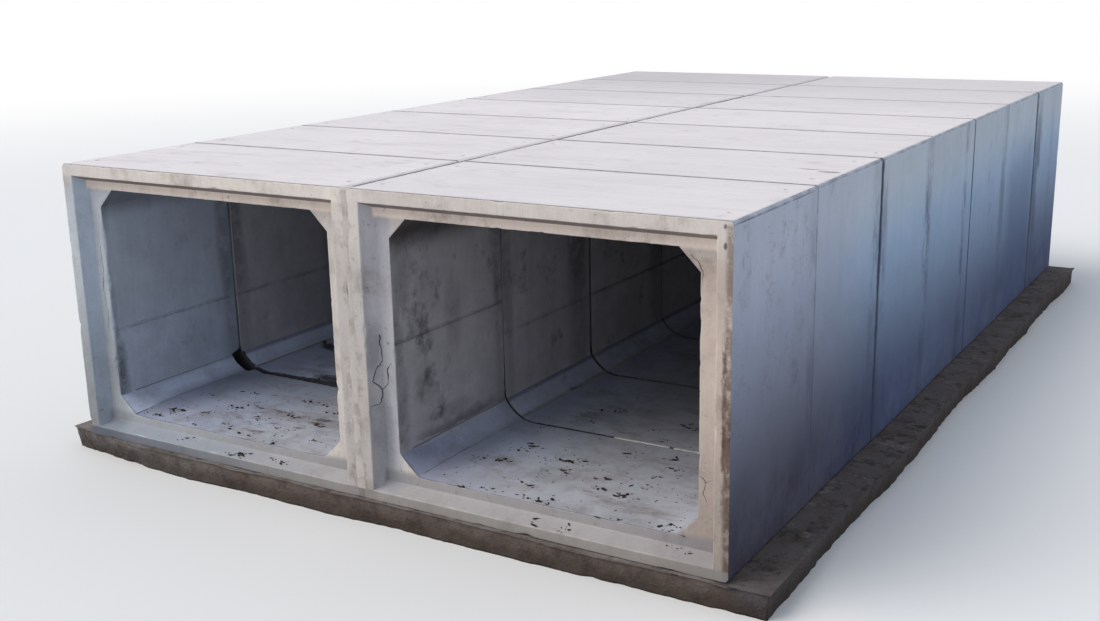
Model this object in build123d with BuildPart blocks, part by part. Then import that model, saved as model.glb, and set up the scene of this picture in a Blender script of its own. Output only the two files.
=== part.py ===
"""Twin-row precast concrete box culvert: two rows of socketed box units on a poured concrete bed.

Millimetres, +Z up, +Y from the socket end towards the tongue end. The origin is the bottom centre
of the bounding box. Each unit is laid with its socket towards -Y and its tongue towards +Y.
"""
from build123d import *
import os

os.makedirs("parts", exist_ok=True)

# Clear size of one cell and the thickness of the concrete round it
CLEAR_WIDTH = 2500.0
CLEAR_HEIGHT = 2000.0
WALL = 280.0
ROOF = 220.0
FLOOR = 200.0
HAUNCH_TOP = 155.0
HAUNCH_FOOT = 165.0
WIDTH = CLEAR_WIDTH + 2 * WALL
HEIGHT = CLEAR_HEIGHT + ROOF + FLOOR
ARRIS = 20.0

# An eight-sided outline grown on every side has its corner legs grown by this share of it
CORNER_SHARE = 2 - 2**0.5

# Units in a row: from rim to rim, and the open joint that shows outside and inside
UNITS = 7
PITCH = 1500.0
JOINT_GAP = 10.0
INNER_GAP = 20.0
UNIT_LENGTH = PITCH - JOINT_GAP

# Socket: the rim that stands round it, its depth, and how much it closes in by its back
RIM_SIDE = 110.0
RIM_TOP = 100.0
RIM_FOOT = 80.0
SOCKET_DEPTH = 130.0
SOCKET_DRAFT = 50.0
TONGUE_CLEARANCE = 12.0
TONGUE_LENGTH = SOCKET_DEPTH + JOINT_GAP - INNER_GAP

# Rows: the grouted gap between them, and how far each unit was set out from it when laid
ROW_GAP = 25.0
GROUT_BELOW_ROOF = 55.0
OUT_LEFT = (4.0, 0.0, 5.0, 2.0, 6.0, 3.0, 1.0)
OUT_RIGHT = (3.0, 0.0, 8.0, 2.0, 6.0, 1.0, 5.0)

# Corner of a tongue that broke off the first left unit: reach along the wall and the floor
BREAK_SIDE = 385.0
BREAK_FLOOR = 460.0
BREAK_STUB = 14.0
BREAK_MARGIN = 8.0

# Lifting anchors: a pocket in the roof over each wall, left by a former with sixteen sides,
# with the pin that is cast into the wall standing on its floor
ANCHOR_IN = WALL / 2
ANCHOR_FRONT = 270.0
ANCHOR_REAR = 245.0
POCKET_RADIUS = 24.0
POCKET_SIDES = 16
POCKET_DEPTH = 30.0
PIN_RADIUS = 9.0
PIN_BELOW_ROOF = 8.0

# Sealing strip against the back of the socket, and mortar pointed in front of it: for each unit
# with mortar left in the joint behind it, from where to where in the cell, from its left wall
SEAL_WIDTH = 32.0
SEAL_FROM_CELL = 26.0
MORTAR_FROM_CELL = 3.0
MORTAR_LEFT = {"unit_2": (420.0, 900.0), "unit_4": (300.0, 1500.0)}
MORTAR_RIGHT = {"unit_1": (1100.0, 2200.0), "unit_2": (300.0, 1250.0), "unit_4": (500.0, 2000.0)}

# Bed: depth, how far it reaches past the units, and how ragged its edges were poured
BED_DEPTH = 200.0
BED_SIDE = 330.0
BED_FRONT = 60.0
BED_REAR = 150.0
RAGGED_LEFT = (38.0, 12.0, 0.0, 26.0, 48.0, 20.0, 8.0, 34.0, 52.0, 30.0, 6.0, 22.0, 44.0, 16.0)
RAGGED_RIGHT = (20.0, 46.0, 28.0, 0.0, 14.0, 40.0, 56.0, 24.0, 8.0, 32.0, 12.0, 50.0, 30.0, 10.0)
RAGGED_FRONT = (14.0, 0.0, 22.0, 8.0, 28.0, 12.0, 4.0, 18.0)
RAGGED_REAR = (10.0, 24.0, 0.0, 30.0, 16.0, 6.0, 26.0, 12.0)
CORNER_FRONT_RIGHT = (12.0, 18.0)
CORNER_REAR_RIGHT = (20.0, 15.0)
CORNER_REAR_LEFT = (16.0, 22.0)
CORNER_FRONT_LEFT = (10.0, 120.0)
BED_BATTER = 4.0

# Places that follow from the sizes above
ROW_OUT = ROW_GAP / 2 + WIDTH / 2
BED_HALF = ROW_GAP / 2 + WIDTH + BED_SIDE
BED_LENGTH = BED_FRONT + UNITS * PITCH - JOINT_GAP + BED_REAR
FRONT_Y = BED_FRONT - BED_LENGTH / 2
BASE_Z = BED_DEPTH
ROOF_Z = BASE_Z + HEIGHT


def unit_x(side, out):
    """Middle of a unit that was set out by `out` from the gap; side is -1 left, +1 right."""
    return side * (ROW_OUT + out)


def unit_y(index):
    """Front rim of the unit at this place in its row."""
    return FRONT_Y + index * PITCH


def socket_inset(depth):
    """How far the socket wall stands in from the rim at this depth behind the rim."""
    return SOCKET_DRAFT * depth / SOCKET_DEPTH


def socket_outline(x, grow):
    """Sketch: the rectangle of the socket, drawn in by `grow` on every side."""
    with Locations((x, BASE_Z + (HEIGHT + RIM_FOOT - RIM_TOP) / 2)):
        Rectangle(WIDTH - 2 * (RIM_SIDE + grow), HEIGHT - RIM_TOP - RIM_FOOT - 2 * grow)


def cell_outline(x, grow):
    """Sketch: the eight-sided cell, made larger by `grow` on every side."""
    half = CLEAR_WIDTH / 2 + grow
    low = BASE_Z + FLOOR - grow
    high = BASE_Z + FLOOR + CLEAR_HEIGHT + grow
    foot = HAUNCH_FOOT + CORNER_SHARE * grow
    top = HAUNCH_TOP + CORNER_SHARE * grow
    Polygon(
        (x - half + foot, low),
        (x + half - foot, low),
        (x + half, low + foot),
        (x + half, high - top),
        (x + half - top, high),
        (x - half + top, high),
        (x - half, high - top),
        (x - half, low + foot),
        align=None,
    )


def anchor_spots(x, y):
    """The four places over the walls of a unit where a lifting anchor is cast in."""
    reach = WIDTH / 2 - ANCHOR_IN
    return [
        (x + dx, y + dy)
        for dx in (-reach, reach)
        for dy in (ANCHOR_FRONT, UNIT_LENGTH - ANCHOR_REAR)
    ]


def box_unit(side, index, out):
    """One precast box: drafted socket in front, drafted tongue behind, cell with haunches."""
    x = unit_x(side, out)
    y = unit_y(index)
    shoulder = y + UNIT_LENGTH
    with BuildPart() as unit:
        # outer box with its four long arrises taken off
        with BuildSketch(Plane.XZ.offset(-y)):
            with Locations((x, BASE_Z + HEIGHT / 2)):
                outer = Rectangle(WIDTH, HEIGHT)
            chamfer(outer.vertices(), ARRIS)
        extrude(amount=-UNIT_LENGTH)
        # socket, closing in towards its back
        with BuildSketch(Plane.XZ.offset(-y)):
            socket_outline(x, 0)
        with BuildSketch(Plane.XZ.offset(-y - SOCKET_DEPTH)):
            socket_outline(x, SOCKET_DRAFT)
        loft(mode=Mode.SUBTRACT)
        # tongue, with the same draft as the socket it enters
        with BuildSketch(Plane.XZ.offset(-shoulder)):
            socket_outline(x, TONGUE_CLEARANCE + socket_inset(-JOINT_GAP))
        with BuildSketch(Plane.XZ.offset(-shoulder - TONGUE_LENGTH)):
            socket_outline(x, TONGUE_CLEARANCE + socket_inset(TONGUE_LENGTH - JOINT_GAP))
        loft()
        # cell
        with BuildSketch(Plane.XZ.offset(-y)):
            cell_outline(x, 0)
        extrude(amount=-UNIT_LENGTH - TONGUE_LENGTH, mode=Mode.SUBTRACT)
        # pockets over the walls, round the lifting anchors
        with BuildSketch(Plane.XY.offset(ROOF_Z)):
            with Locations(*anchor_spots(x, y)):
                RegularPolygon(POCKET_RADIUS, POCKET_SIDES)
        extrude(amount=-POCKET_DEPTH, mode=Mode.SUBTRACT)
        if side < 0 and index == 0:
            # corner of the tongue that broke off at the foot of the outer wall
            corner = x - WIDTH / 2
            with BuildSketch(Plane.XZ.offset(-shoulder - BREAK_STUB)):
                with BuildLine():
                    Polyline(
                        (corner + RIM_SIDE, BASE_Z + RIM_FOOT),
                        (corner + BREAK_FLOOR, BASE_Z + RIM_FOOT),
                        (corner + BREAK_FLOOR, BASE_Z + FLOOR + BREAK_MARGIN),
                        (corner + WALL + BREAK_MARGIN, BASE_Z + BREAK_SIDE),
                        (corner + RIM_SIDE, BASE_Z + BREAK_SIDE),
                        close=True,
                    )
                make_face()
            extrude(amount=BREAK_STUB - TONGUE_LENGTH, mode=Mode.SUBTRACT)
    return unit


def joint_seal(side, index, out):
    """Strip pressed between the tip of a tongue and the back of the next socket."""
    x = unit_x(side, out)
    back = unit_y(index + 1) + SOCKET_DEPTH
    with BuildPart() as seal:
        with BuildSketch(Plane.XZ.offset(-back)):
            cell_outline(x, SEAL_FROM_CELL + SEAL_WIDTH)
            with BuildSketch(mode=Mode.PRIVATE) as inner:
                cell_outline(x, SEAL_FROM_CELL)
            add(inner.sketch, mode=Mode.SUBTRACT)
        extrude(amount=INNER_GAP)
    return seal


for row, side, outs in (("left", -1, OUT_LEFT), ("right", 1, OUT_RIGHT)):
    for index, out in enumerate(outs):
        unit = box_unit(side, index, out)
        unit.part.label = f"unit_{row}_{index + 1}"
        export_step(unit.part, f"parts/unit_{row}_{index + 1}.step")
    for index in range(UNITS - 1):
        seal = joint_seal(side, index, (outs[index] + outs[index + 1]) / 2)
        seal.part.label = f"joint_seal_{row}_{index + 1}"
        export_step(seal.part, f"parts/joint_seal_{row}_{index + 1}.step")

for row, side, outs, runs in (
    ("left", -1, OUT_LEFT, MORTAR_LEFT),
    ("right", 1, OUT_RIGHT, MORTAR_RIGHT),
):
    # mortar pointed into the floor joints, in the runs that are still there
    with BuildPart() as joint_mortar:
        for unit_before, (start, end) in runs.items():
            joint = int(unit_before.removeprefix("unit_"))
            x = unit_x(side, max(outs[joint - 1], outs[joint])) - CLEAR_WIDTH / 2
            back = unit_y(joint) + SOCKET_DEPTH
            top = BASE_Z + FLOOR - MORTAR_FROM_CELL
            with BuildSketch(Plane.XY.offset(top)):
                with Locations((x + (start + end) / 2, back - INNER_GAP / 2)):
                    Rectangle(end - start, INNER_GAP)
            extrude(amount=MORTAR_FROM_CELL - SEAL_FROM_CELL)
    joint_mortar.part.label = f"joint_mortar_{row}"
    export_step(joint_mortar.part, f"parts/joint_mortar_{row}.step")

    # pins of the lifting anchors, from the floor of each pocket to just below the roof
    spots = [
        spot
        for index, out in enumerate(outs)
        for spot in anchor_spots(unit_x(side, out), unit_y(index))
    ]
    with BuildPart() as lifting_anchors:
        with BuildSketch(Plane.XY.offset(ROOF_Z - POCKET_DEPTH)):
            with Locations(*spots):
                Circle(PIN_RADIUS)
        extrude(amount=POCKET_DEPTH - PIN_BELOW_ROOF)
    lifting_anchors.part.label = f"lifting_anchors_{row}"
    export_step(lifting_anchors.part, f"parts/lifting_anchors_{row}.step")

# grout run into the gap between the rows, as wide in each bay as the two units left it
with BuildPart() as row_grout:
    for index in range(UNITS):
        start = unit_y(index)
        end = unit_y(index + 1) if index < UNITS - 1 else start + UNIT_LENGTH
        low = -ROW_GAP / 2 - OUT_LEFT[index]
        high = ROW_GAP / 2 + OUT_RIGHT[index]
        with BuildSketch(Plane.XY.offset(BASE_Z)):
            with Locations(((low + high) / 2, (start + end) / 2)):
                Rectangle(high - low, end - start)
        extrude(amount=HEIGHT - GROUT_BELOW_ROOF)
row_grout.part.label = "row_grout"
export_step(row_grout.part, "parts/row_grout.step")

# bed poured against the dug ground, so its edges wander and lean in towards the bottom
rear = FRONT_Y - BED_FRONT + BED_LENGTH
front = FRONT_Y - BED_FRONT
along = BED_LENGTH / (len(RAGGED_LEFT) + 1)
across = 2 * BED_HALF / (len(RAGGED_FRONT) + 1)
outline = [(BED_HALF - CORNER_FRONT_RIGHT[0], front + CORNER_FRONT_RIGHT[1])]
outline += [(BED_HALF - cut, front + along * (n + 1)) for n, cut in enumerate(RAGGED_RIGHT)]
outline += [(BED_HALF - CORNER_REAR_RIGHT[0], rear - CORNER_REAR_RIGHT[1])]
outline += [(BED_HALF - across * (n + 1), rear - cut) for n, cut in enumerate(RAGGED_REAR)]
outline += [(CORNER_REAR_LEFT[0] - BED_HALF, rear - CORNER_REAR_LEFT[1])]
outline += [(-BED_HALF + cut, rear - along * (n + 1)) for n, cut in enumerate(RAGGED_LEFT)]
outline += [(CORNER_FRONT_LEFT[0] - BED_HALF, front + CORNER_FRONT_LEFT[1])]
outline += [(-BED_HALF + across * (n + 1), front + cut) for n, cut in enumerate(RAGGED_FRONT)]
with BuildPart() as concrete_bed:
    with BuildSketch(Plane.XY.offset(BED_DEPTH)):
        with BuildLine():
            Polyline(*outline, close=True)
        make_face()
    extrude(amount=-BED_DEPTH, taper=BED_BATTER)
concrete_bed.part.label = "concrete_bed"
export_step(concrete_bed.part, "parts/concrete_bed.step")
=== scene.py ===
"""Finish of a twin-row precast box culvert on a poured bed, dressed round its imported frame.

Metres, +Z up, +Y from the socket end towards the tongue end. Run it as a script; the panel in
the sidebar lists the same steps for use by hand.
"""
import math

import bpy
import numpy as np
from bpy.props import FloatProperty, FloatVectorProperty, IntProperty, PointerProperty
from mathutils import Matrix, Vector


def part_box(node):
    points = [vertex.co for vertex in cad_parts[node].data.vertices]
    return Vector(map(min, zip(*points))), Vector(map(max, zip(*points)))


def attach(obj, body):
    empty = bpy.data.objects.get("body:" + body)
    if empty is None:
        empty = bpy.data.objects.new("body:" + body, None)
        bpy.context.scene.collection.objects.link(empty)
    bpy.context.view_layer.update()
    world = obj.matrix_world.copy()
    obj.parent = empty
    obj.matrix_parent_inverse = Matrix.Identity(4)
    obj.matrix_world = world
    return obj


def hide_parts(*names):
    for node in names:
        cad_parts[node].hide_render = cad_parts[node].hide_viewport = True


bl_info = {
    "name": "Twin-row box culvert",
    "version": (1, 0, 0),
    "blender": (4, 5, 0),
    "location": "View3D > Sidebar > Culvert",
    "description": "Cast faces, joints, bed and stage of a precast twin-row box culvert",
    "category": "Object",
}

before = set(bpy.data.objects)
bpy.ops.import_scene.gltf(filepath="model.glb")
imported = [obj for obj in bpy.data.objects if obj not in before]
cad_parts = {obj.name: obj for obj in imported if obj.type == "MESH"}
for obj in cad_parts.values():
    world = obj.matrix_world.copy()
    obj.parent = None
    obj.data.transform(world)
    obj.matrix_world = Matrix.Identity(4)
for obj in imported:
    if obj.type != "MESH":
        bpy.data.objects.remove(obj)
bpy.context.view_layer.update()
ROWS = ("left", "right")
UNITS = range(1, 8)
FRONT_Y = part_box("unit_left_1")[0].y
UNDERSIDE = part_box("unit_left_1")[0].z
ROOF_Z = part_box("unit_left_1")[1].z


def srgb(red, green, blue):
    """Screen colour, 0 to 255, as the linear colour that a shader takes."""
    return tuple(
        c / 12.92 if c <= 0.04045 else ((c + 0.055) / 1.055) ** 2.4
        for c in (red / 255, green / 255, blue / 255)
    )


def length(name, default, text):
    return FloatProperty(
        name=name, description=text, default=default, min=0.0, precision=4, unit="LENGTH"
    )


def colour(name, default, text):
    return FloatVectorProperty(
        name=name, description=text, default=default, size=3, min=0.0, max=1.0, subtype="COLOR"
    )


class CulvertSizes(bpy.types.PropertyGroup):
    """Sizes of a unit and its joints, as the frame has them, and of the wear on them."""

    cell_width: length("Cell width", 2.5, "Clear width of one cell")
    cell_height: length("Cell height", 2.0, "Clear height of one cell")
    wall: length("Wall", 0.28, "Thickness of a unit's walls")
    roof: length("Roof", 0.22, "Thickness of a unit's roof")
    floor: length("Floor", 0.2, "Thickness of a unit's floor")
    haunch_top: length("Top haunch", 0.155, "Legs of the upper haunches")
    haunch_foot: length("Foot haunch", 0.165, "Legs of the lower haunches")
    arris: length("Arris", 0.02, "Legs of the chamfer on a unit's long edges")
    pitch: length("Pitch", 1.5, "From one rim to the next in a row")
    unit_length: length("Unit length", 1.49, "From rim to rear shoulder")
    rim_side: length("Side rim", 0.11, "Width of the rim beside the socket")
    rim_top: length("Top rim", 0.1, "Width of the rim over the socket")
    rim_foot: length("Foot rim", 0.08, "Width of the rim under the socket")
    socket_depth: length("Socket depth", 0.13, "Depth of the socket behind the rim")
    socket_draft: length("Socket draft", 0.05, "How much the socket closes in by its back")
    socket_corner: length("Socket corner", 0.004, "Small corner left in the socket")
    clearance: length("Clearance", 0.012, "Gap round a tongue in its socket")
    tongue: length("Tongue", 0.12, "Length of the tongue behind the shoulder")
    inner_gap: length("Inner gap", 0.02, "Open joint inside the cells")
    pocket_radius: length("Pocket radius", 0.024, "Lifting pocket in the roof")
    pocket_depth: length("Pocket depth", 0.03, "Depth of a lifting pocket")
    pin_radius: length("Pin radius", 0.009, "Head of a lifting pin")
    pocket_in: length("Pocket in", 0.14, "From a unit's side to its pockets")
    pocket_front: length("Front pocket", 0.27, "From the rim to the front pockets")
    pocket_rear: length("Rear pocket", 0.245, "From the rear shoulder to the rear pockets")
    edge_wear: length("Edge wear", 0.0035, "How far a cast edge is rounded")
    chip: length("Chip", 0.022, "Deepest chip on a cast edge")
    bed_grid: length("Bed grid", 0.035, "Grid along the edge of the bed")
    litter: IntProperty(name="Crumbs", description="Loose crumbs on each floor", default=240, min=0)


class CulvertFinish(bpy.types.PropertyGroup):
    """Colours of the concrete faces, the joints, the steel and the dirt."""

    roof: colour("Roof", srgb(229, 223, 225), "Trowelled roof")
    flank: colour("Outer wall", srgb(189, 198, 220), "Outer walls, cast against the form")
    rim: colour("Rim", srgb(214, 205, 198), "Rims, sockets and tongues")
    cell: colour("Cell", srgb(192, 201, 217), "Walls and soffit of the cells")
    floor: colour("Cell floor", srgb(182, 184, 193), "Floor of the cells")
    damp: colour("Damp", srgb(84, 92, 110), "Damp and algae beside the joints")
    soil: colour("Soil", srgb(104, 84, 68), "Dried soil and rust on the faces")
    bed: colour("Bed", srgb(124, 118, 115), "Poured bed")
    mud: colour("Mud", srgb(66, 54, 46), "Mud on the bed and the floors")
    mortar: colour("Mortar", srgb(204, 196, 190), "Mortar and grout")
    seal: colour("Seal", srgb(34, 35, 38), "Sealing strip")
    rust: colour("Rust", srgb(112, 62, 38), "Rust on the lifting pins")
    litter: colour("Crumbs", srgb(46, 38, 33), "Mud crumbs and dry flakes")
    stage: colour("Stage", srgb(232, 232, 232), "Floor of the stage")


# Shapes: grids of points worked out as whole arrays


def ease(t):
    """3t² − 2t³: from 0 to 1 with a flat start and end."""
    return t * t * (3 - 2 * t)


def wander(s, step, seed):
    """Smooth random line along s: seeded values from -1 to 1, `step` apart, joined by ease."""
    table = np.random.default_rng(seed).uniform(-1, 1, 4096)
    u = np.asarray(s) / step + 7
    i = np.floor(u).astype(int)
    t = ease(u - i)
    return table[i % 4096] * (1 - t) + table[(i + 1) % 4096] * t


def lumps(p, step, seed):
    """Smooth random relief in space, -1 to 1: a seeded value at each corner of a lattice `step`
    wide, blended along x, y and z by ease. The odd numbers scatter the corners' places."""
    u = np.asarray(p) / step
    base = np.floor(u).astype(np.int64)
    t = ease(u - base)
    total = np.zeros(u.shape[:-1])
    for corner in range(8):
        bit = np.array([corner & 1, corner >> 1 & 1, corner >> 2])
        h = (base + bit) @ np.array([374761393, 668265263, 951274213]) + seed * 1274126177
        h = h & 0xFFFFFFFF
        h = (h ^ h >> 13) * 1103515245 & 0xFFFFFFFF
        h = (h ^ h >> 16) / 2**31 - 1
        total += h * np.prod(np.where(bit, t, 1 - t), axis=-1)
    return total


def lines(span, step, near, extra=()):
    """Grid lines over 0..span: `near` offsets at both ends, `extra` ones, and even lines between
    them about `step` apart where none of those is closer than 0.45 of a step."""
    held = np.concatenate([[0.0, span], near, span - np.asarray(near), extra])
    even = np.linspace(0, span, max(2, round(span / step) + 1))
    room = np.abs(even[:, None] - held[None, :]).min(axis=1)
    return np.unique(np.round(np.concatenate([held, even[room > 0.45 * step]]), 6))


def walk(points):
    """How far along a line of points each one lies."""
    return np.concatenate([[0], np.cumsum(np.hypot(*np.diff(points, axis=0).T))])


def closed_loops(loops):
    """Skin over closed loops, shape (pieces, loops, points, 3), each piece shut by a fan to the
    middle of its first and its last loop. The points turn to the right round the way forward."""
    count, rows, cols = loops.shape[:3]
    ends = loops[:, [0, -1]].mean(axis=2)
    verts = np.concatenate([loops.reshape(count, -1, 3), ends], axis=1)
    per = rows * cols + 2
    r, c = np.meshgrid(np.arange(rows - 1), np.arange(cols), indexing="ij")
    n = (c + 1) % cols
    quads = np.stack([r * cols + c, r * cols + n, (r + 1) * cols + n, (r + 1) * cols + c], -1)
    p = np.arange(cols)
    q = (p + 1) % cols
    last = (rows - 1) * cols
    first_fan = np.stack([np.full(cols, per - 2), q, p], -1)
    last_fan = np.stack([np.full(cols, per - 1), last + p, last + q], -1)
    step = (np.arange(count) * per)[:, None, None]
    quads = (quads.reshape(-1, 4)[None] + step).reshape(-1, 4)
    fans = (np.concatenate([first_fan, last_fan])[None] + step).reshape(-1, 3)
    return verts.reshape(-1, 3), quads, fans


def join_skins(skins):
    """Several skins as one: their points end to end, with the faces counted on."""
    verts, quads, fans, count = [], [], [], 0
    for v, q, f in skins:
        verts.append(v)
        quads.append(q + count)
        fans.append(f + count)
        count += len(v)
    return np.concatenate(verts), np.concatenate(quads), np.concatenate(fans)


def add_piece(name, skin, finishes, region=None, nodes=()):
    """Makes the mesh, gives each face its finish, and puts the piece on the body of the part."""
    verts, *groups = skin
    faces = [face for group in groups for face in group.tolist()]
    mesh = bpy.data.meshes.new(name)
    mesh.from_pydata(verts.tolist(), [], faces)
    for finish in finishes:
        mesh.materials.append(finish)
    if region is not None:
        mesh.polygons.foreach_set("material_index", region.astype(np.int32))
    mesh.polygons.foreach_set("use_smooth", np.ones(len(faces), bool))
    mesh.update()
    piece = bpy.data.objects.new(name, mesh)
    bpy.context.scene.collection.objects.link(piece)
    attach(piece, "root")
    if nodes:
        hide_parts(*nodes)
    return piece


# Units

SIDES = np.array([(0, -1), (1, -1), (1, 0), (1, 1), (0, 1), (-1, 1), (-1, 0), (-1, -1)], float)
SIDES /= np.linalg.norm(SIDES, axis=1)[:, None]
RIGHT, TOP, LEFT = 2, 4, 6
OUTSIDE, REAR, TONGUE, TIP, CELL, SHOULDER, SOCKET, RIM = range(8)
WORN_CORNERS = (OUTSIDE, REAR, TIP, CELL, SHOULDER, RIM)
UNIT_FINISHES = ("roof", "flank", "rim", "cell")
# For the first unit, the second and the others: the grid's step round the loops, lengthways and
# over the short legs of the profile, the parts of a haunch, the first lines beside an edge, and
# the rings round a lifting pocket in its radii
GRIDS = (
    (0.024, 0.048, 0.03, 13, (0.003, 0.008, 0.016, 0.026),
     (0.25, 0.5, 0.75, 0.95, 1.0, 1.06, 1.25, 1.65)),
    (0.055, 0.11, 0.06, 4, (0.003, 0.01, 0.022), (0.5, 0.95, 1.0, 1.06, 1.65)),
    (0.09, 0.16, 0.2, 4, (0.004, 0.014), (0.5, 0.95, 1.0, 1.06, 1.65)),
)
ARRIS_WEAR = 0.003
# heights of the grooves that the form left in the cells, and their lines in the grid
FORM_LINES = {("left", 1): 0.966, ("left", 2): 0.966, ("right", 1): 1.25, ("right", 2): 0.97}
GROOVE_LINES = np.array([-0.012, -0.004, 0, 0.004, 0.012])
GROOVE_DEPTH, GROOVE_WIDTH = 0.004, 0.005
# how far the haunches run out into the floor and up the walls, and how that fades to the mouth
HAUNCH_REACH = {"left": 0.19, "right": 0.13}
WALL_REACH = 0.06
MOUTH_LENGTH, MOUTH_SHARE = 0.3, 0.2
# a circle drawn from square rings, and the sinking of its inside, both by size in radii
CIRCLE = [0, 0.95, 1.0, 1.25], [0, 0.93, 1.0, 1.25]
SUNK = [0, 0.95, 1.0, 1.06], [1, 0.97, 0.05, 0]
# large chips: corner of the profile, x, z, reach and depth
BROKEN = {
    ("right", 1): (
        (0, 2.9, 2.3, 0.03, 0.02), (5, 0.29, 1.35, 0.05, 0.016), (7, 0.125, 1.55, 0.035, 0.02),
        (7, 0.125, 1.43, 0.02, 0.016), (0, 3.07, 1.18, 0.03, 0.018), (5, 2.79, 1.9, 0.05, 0.012),
        (0, 2.2, 2.62, 0.04, 0.012), (0, 1.35, 2.62, 0.03, 0.014), (0, 1.5, 0.2, 0.05, 0.02),
    ),
    ("left", 1): (
        (5, -2.79, 1.95, 0.12, 0.02), (5, -2.79, 1.6, 0.09, 0.024), (5, -2.79, 1.2, 0.14, 0.02),
        (5, -2.79, 0.85, 0.12, 0.026), (5, -0.29, 1.0, 0.03, 0.022), (0, -3.07, 1.2, 0.03, 0.014),
        (0, -3.07, 0.3, 0.04, 0.026), (7, -1.3, 2.52, 0.06, 0.012), (0, -2.0, 2.62, 0.05, 0.012),
    ),
}
BROKEN_TONGUE = ("left", 1)


def profile_corners(s):
    """Corners of a unit's lengthways profile, in order: outside front and rear, root and tip of
    the tongue, cell rear and front, back and mouth of the socket. Each row is (y, half width,
    underside, top, foot corner, top corner) of the eight-sided loop there."""
    half = s.cell_width / 2 + s.wall
    height = s.cell_height + s.roof + s.floor
    draft = s.socket_draft / s.socket_depth
    root = s.clearance - draft * (s.pitch - s.unit_length)
    outside = (half, 0, height, s.arris, s.arris)
    cell = (s.cell_width / 2, s.floor, s.floor + s.cell_height, s.haunch_foot, s.haunch_top)

    def ring(inset):
        """Outline of the socket's mouth, drawn in on all sides."""
        wide, low, high = half - s.rim_side - inset, s.rim_foot + inset, height - s.rim_top - inset
        return (wide, low, high, s.socket_corner, s.socket_corner)

    end = s.unit_length
    tip = end + s.tongue
    return np.array(
        [
            (0, *outside),
            (end, *outside),
            (end, *ring(root)),
            (tip, *ring(root + draft * s.tongue)),
            (tip, *cell),
            (s.socket_depth, *cell),
            (s.socket_depth, *ring(s.socket_draft)),
            (0, *ring(0)),
        ]
    )


def loop_points(rings, side, share):
    """Points (rings, columns, 2) in x and z: share of the way from one of a loop's eight corners
    to the next, counted from the left end of its underside round by the right."""
    half, low, high, foot, top = rings[:, 1:].T
    x = np.stack([foot - half, half - foot, half, half, half - top, top - half, -half, -half], 1)
    z = np.stack([low, low, low + foot, high - top, high, high, high - top, low + foot], 1)
    corner = np.stack([x, z], -1)
    share = share[None, :, None]
    return corner[:, side] * (1 - share) + corner[:, (side + 1) % 8] * share


def run_out(reach, gap):
    """Depth of the soft fill of a blunt corner at some distance: (reach − gap)²·0.207/reach."""
    return 0.207 / reach * np.clip(reach - gap, 0, None) ** 2


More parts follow.
